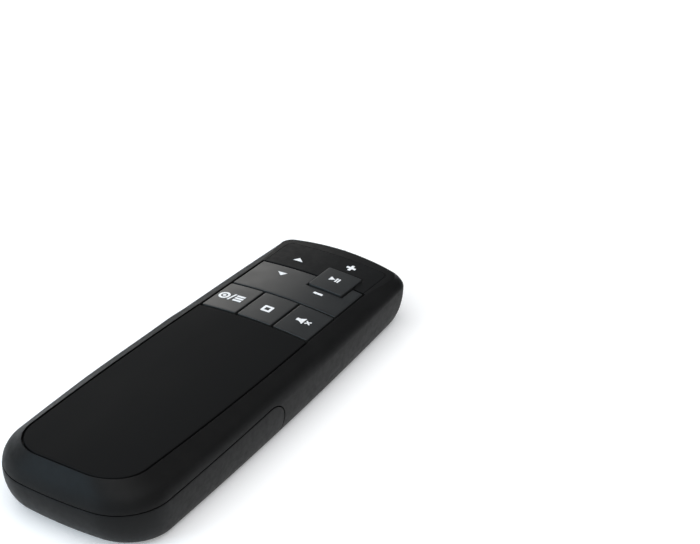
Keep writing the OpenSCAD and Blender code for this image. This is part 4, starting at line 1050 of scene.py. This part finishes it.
def plated(name, tone, rough, stretch=(1, 1, 1), tint=(1.0, 1.0, 1.0)):
    """Plated or drawn metal with fine lines along the way it was worked."""
    f = Finish(name, metallic=1.0)
    lines = f.noise(2400, 4, f.stretched(*stretch))
    stain = f.noise(420, 4)
    light = [tone * c for c in tint]
    colour = f.blend(f.span(stain, 0.35, 0.7, 0, 1), (*light, 1), dimmed(light, 0.82))
    roughness = f.span(lines, 0.25, 0.75, rough - 0.06, rough + 0.1)
    return f.wear(colour, roughness, f.relief(lines, 0.000004, 0.5))


def circuit_green(name):
    """Green solder mask over tracks, with bare pads in rows."""
    f = Finish(name, specular_ior_level=0.5)
    tracks = f.add(
        "ShaderNodeTexBrick",
        {"Vector": f.coords, "Scale": 260.0, "Mortar Size": 0.06, "Brick Width": 0.9, "Row Height": 0.3},
        offset=0.37,
    ).outputs["Fac"]
    pads = f.cells(420)
    mask = f.noise(900, 3)
    lines = f.blend(tracks, (0.012, 0.10, 0.035, 1), (0.03, 0.19, 0.07, 1))
    tone = f.blend(f.span(mask, 0.3, 0.7, 0, 0.4), lines, (0.01, 0.07, 0.03, 1))
    colour = f.blend(f.span(pads, 0.10, 0.13, 1, 0), tone, (0.62, 0.55, 0.34, 1))
    return f.wear(colour, f.span(mask, 0, 1, 0.25, 0.4), f.relief(tracks, 0.00003, 0.6))


def cell_sleeve(name, nub_front, axis_x):
    """Printed sleeve with a gold band at the plus end, a ring beside it and bare steel ends."""
    gold_from, ring_from, ring_to, bare_r = 0.70, 0.675, 0.69, 4.4
    f = Finish(name, metallic=0.4, specular_ior_level=0.5)
    lo, hi = [c[1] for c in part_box("left_cell" if nub_front else "right_cell")]
    along = f.axis("Y")
    share = f.span(along, lo, hi, 0, 1) if nub_front else f.span(along, lo, hi, 1, 0)
    dx = f.maths("SUBTRACT", f.axis("X"), axis_x * MM)
    dz = f.maths("SUBTRACT", f.axis("Z"), CELL_Z * MM)
    radius = f.maths("SQRT", f.maths("ADD", f.maths("MULTIPLY", dx, dx), f.maths("MULTIPLY", dz, dz)))
    film = f.noise(1500, 3, f.stretched(1, 0.1, 1))
    dark = f.blend(film, (0.012, 0.014, 0.018, 1), (0.02, 0.022, 0.028, 1))
    gold = f.blend(film, (0.62, 0.30, 0.09, 1), (0.72, 0.38, 0.13, 1))
    sleeve = f.blend(f.maths("GREATER_THAN", share, gold_from), dark, gold)
    past, before = f.maths("GREATER_THAN", share, ring_from), f.maths("LESS_THAN", share, ring_to)
    ring = f.maths("MULTIPLY", past, before)
    sleeve = f.blend(ring, sleeve, (0.8, 0.8, 0.8, 1))
    bare = f.maths("LESS_THAN", radius, bare_r * MM)
    colour = f.blend(bare, sleeve, (0.72, 0.72, 0.74, 1))
    return f.wear(colour, f.span(film, 0.3, 0.7, 0.24, 0.34), f.relief(film, 0.000006, 0.4))


# ---------------------------------------------------------------- studio
def area_lamp(name, place, target, size, power, tone=(1, 1, 1)):
    """Square lamp that looks at a target."""
    data = bpy.data.lights.new(name, "AREA")
    data.shape, data.size, data.size_y, data.energy, data.color = "RECTANGLE", size[0], size[1], power, tone
    lamp = add_object(name, data)
    lamp.location = place
    lamp.rotation_euler = (Vector(target) - Vector(place)).to_track_quat("-Z", "Y").to_euler()


def seen_ray(tree):
    """1 for the rays that show the background: camera, glossy and transmission rays."""
    path = tree.nodes.new("ShaderNodeLightPath")
    total = path.outputs["Is Camera Ray"]
    for name in ("Is Glossy Ray", "Is Transmission Ray"):
        both = tree.nodes.new("ShaderNodeMath")
        both.operation = "MAXIMUM"
        tree.links.new(total, both.inputs[0])
        tree.links.new(path.outputs[name], both.inputs[1])
        total = both.outputs[0]
    return total


def studio_floor():
    """White ground, a hair under the remote, that glows a little where it is seen."""
    half_size, drop, glow = 4000, 0.05, 0.26
    bm = bmesh.new()
    bmesh.ops.create_grid(bm, x_segments=1, y_segments=1, size=half_size)
    floor = to_object("studio_floor", bm)
    floor.data.transform(Matrix.Translation((0, 0, -drop * MM)) @ Matrix.Scale(MM, 4))
    material = bpy.data.materials.new("floor_white")
    material.use_nodes = True
    tree = material.node_tree
    shader = tree.nodes["Principled BSDF"]
    shader.inputs["Base Color"].default_value = grey(0.82)
    shader.inputs["Roughness"].default_value = 1.0
    shader.inputs["Specular IOR Level"].default_value = 0.0
    shader.inputs["Emission Color"].default_value = grey(1.0)
    lift = tree.nodes.new("ShaderNodeMath")
    lift.operation = "MULTIPLY"
    tree.links.new(seen_ray(tree), lift.inputs[0])
    lift.inputs[1].default_value = glow
    tree.links.new(lift.outputs[0], shader.inputs["Emission Strength"])
    floor.data.materials.append(material)


def studio_light():
    world = bpy.data.worlds.new("studio_air")
    bpy.context.scene.world = world
    world.use_nodes = True
    air = world.node_tree.nodes["Background"].inputs
    air["Color"].default_value = (0.085, 0.105, 0.13, 1.0)
    air["Strength"].default_value = 1.0
    area_lamp("top_softbox", (0.12, -0.5, 1.5), (0, 0, 0), (2.4, 2.4), 41.5)
    area_lamp("left_softbox", (-0.744, 0.864, 0.36), (0, 0.03, 0.01), (0.4, 0.4), 1.2, (1.0, 0.97, 0.93))
    area_lamp("rear_softbox", (-0.55, -0.95, 0.4), (0, -0.03, 0.01), (0.5, 0.4), 6.0, (0.5, 0.78, 1.0))


def studio_camera():
    data = bpy.data.cameras.new("camera")
    data.lens, data.sensor_width = 122.11, 36.0
    data.clip_start, data.clip_end = 0.01, 20.0
    camera = add_object("camera", data)
    camera.location = (0.27236, -0.37141, 0.32046)
    camera.rotation_euler = (math.radians(58.341), 0, math.radians(32.281))
    bpy.context.scene.camera = camera


# ---------------------------------------------------------------- assembly
def paint(name, material):
    for slot in nodes[name].material_slots:
        slot.material = material


def dress_cad_nodes():
    """Gives the CAD nodes that stay in sight their finishes."""
    epoxy = moulded("chip_epoxy", 0.02, 0.55, grain=0.000012, grain_scale=9000, spec=0.4)
    ink = white_print("ink_nose")
    finishes = {
        "bottom_cover": moulded("cover_black", 0.014, 0.52, spec=0.3),
        "key_frame": moulded("frame_plastic", 0.16, 0.5, spec=0.4),
        "keypad_mat": moulded("dome_rubber", 0.2, 0.62, grain=0.000006, spec=0.3),
        "circuit_board": circuit_green("solder_mask"),
        "controller_chip": epoxy,
        "radio_chip": epoxy,
        "crystal": plated("can_metal", 0.75, 0.25, (0.2, 1, 1)),
        "antenna": moulded("antenna_ceramic", 0.62, 0.4, grain=0.000004, spec=0.5, warmth=0.06),
        "laser_barrel": plated("turned_brass", 0.75, 0.24, (1, 6, 1), (1.0, 0.74, 0.36)),
        "laser_diode": plated("diode_gold", 0.75, 0.22, (1, 3, 1), (1.0, 0.85, 0.55)),
        "laser_lens": clear_part("lens_clear", (0.95, 0.98, 1.0)),
        "laser_window": clear_part("window_red", (0.55, 0.04, 0.03)),
        "battery_tray": moulded("tray_plastic", 0.035, 0.5, spec=0.35),
        "left_cell": cell_sleeve("left_sleeve", True, CELL_AX),
        "right_cell": cell_sleeve("right_sleeve", False, CELL_BX),
        "contact_plates": plated("nickel_plate", 0.72, 0.26, (1, 0.1, 1)),
        "battery_leads": wire_jacket("wire_jacket"),
        "receiver_plug": plated("receiver_steel", 0.7, 0.3, (0.15, 1, 1)),
        "receiver_cap": satin_cap("receiver_black", 0.02, 0.35, 0.5),
    }
    signs = ("nose_legends", "band_legends", "play_legend", "screen_legend", "stop_legend", "mute_legend")
    finishes |= {name: ink for name in signs}
    for name, material in finishes.items():
        paint(name, material)


def dress_body():
    """Upper shell, battery door and palm panel."""
    shell_black = moulded("housing_black", 0.0075, 0.5, spec=0.12, warmth=0.04)
    door_black = moulded("door_black", 0.0075, 0.5, spec=0.12, warmth=0.02)
    shell, door = housing_walls()
    shell.name, door.name = "upper_shell", "tail_door"
    add_shell_fittings(shell)
    cut_shell_openings(shell)
    add_door_ribs(door)
    place(shell, "housing", shell_black, "housing", "top_shell")
    place(door, "door", door_black, "door", "battery_door")
    place(make_panel(), "housing", soft_panel("panel_soft_touch", 0.0075, 0.6), "panel", "palm_panel")


def dress_fittings():
    """Contact springs and screws, each set in place of the CAD's plain ones."""
    spring_steel = plated("spring_steel", 0.72, 0.26, (1, 0.1, 1))
    zinc = plated("screw_zinc", 0.22, 0.36)
    place(make_springs(spring_steel), "housing", spring_steel, "spring", "contact_springs")
    spots = [(s * COVER_SX, COVER_SY, COVER_SEAT - HEAD_H) for s in (-1, 1)]
    held = make_screws("cover_screw_set", zinc, spots, COVER_SCREW_L)
    place(held, "housing", zinc, "screw", "cover_screws")
    tabs = ((-TRAY_SX, TRAY_SY), (TRAY_SX, TRAY_SY), (RX_X, RX_SY))
    spots = [(x, y, TAB_Z - TAB_T - HEAD_H) for x, y in tabs]
    held = make_screws("tray_screw_set", zinc, spots, TRAY_SCREW_L)
    place(held, "housing", zinc, "screw", "tray_screws")
    under = BOARD_D + BOARD_T
    spots = [(s * BOARD_SX, BOARD_SY, -under - HEAD_H) for s in (-1, 1)]
    held = make_screws("board_screw_set", zinc, spots, under - BOARD_SCREW_TOP)
    held.data.transform(top_frame())
    place(held, "housing", zinc, "screw", "board_screws")


def dress_keys():
    """The six keys, each on its own body."""
    satin = satin_cap("key_satin", 0.02, 0.34, 0.35, (0.98, 1.0, 0.98))
    matte = moulded("nose_cap_black", 0.008, 0.5, spec=0.08)
    third = 1 / 3
    place(make_lower_key("screen_button", -1, -third, -THIRD_X), "screen", satin, "small_caps", "screen_key")
    place(make_lower_key("stop_button", -third, third, 0), "stop", satin, "small_caps", "stop_key")
    place(make_lower_key("mute_button", third, 1, THIRD_X), "mute", satin, "small_caps", "mute_key")
    place(make_play_key(), "play", satin, "play_cap", "play_key")
    place(make_band(), "band", satin, "band_cap", "band_rocker")
    place(make_nose(), "nose", matte, "nose_cap", "nose_rocker")


bpy.context.scene.view_settings.view_transform = "Standard"
dress_cad_nodes()
dress_body()
dress_keys()
dress_fittings()
studio_floor()
studio_light()
studio_camera()
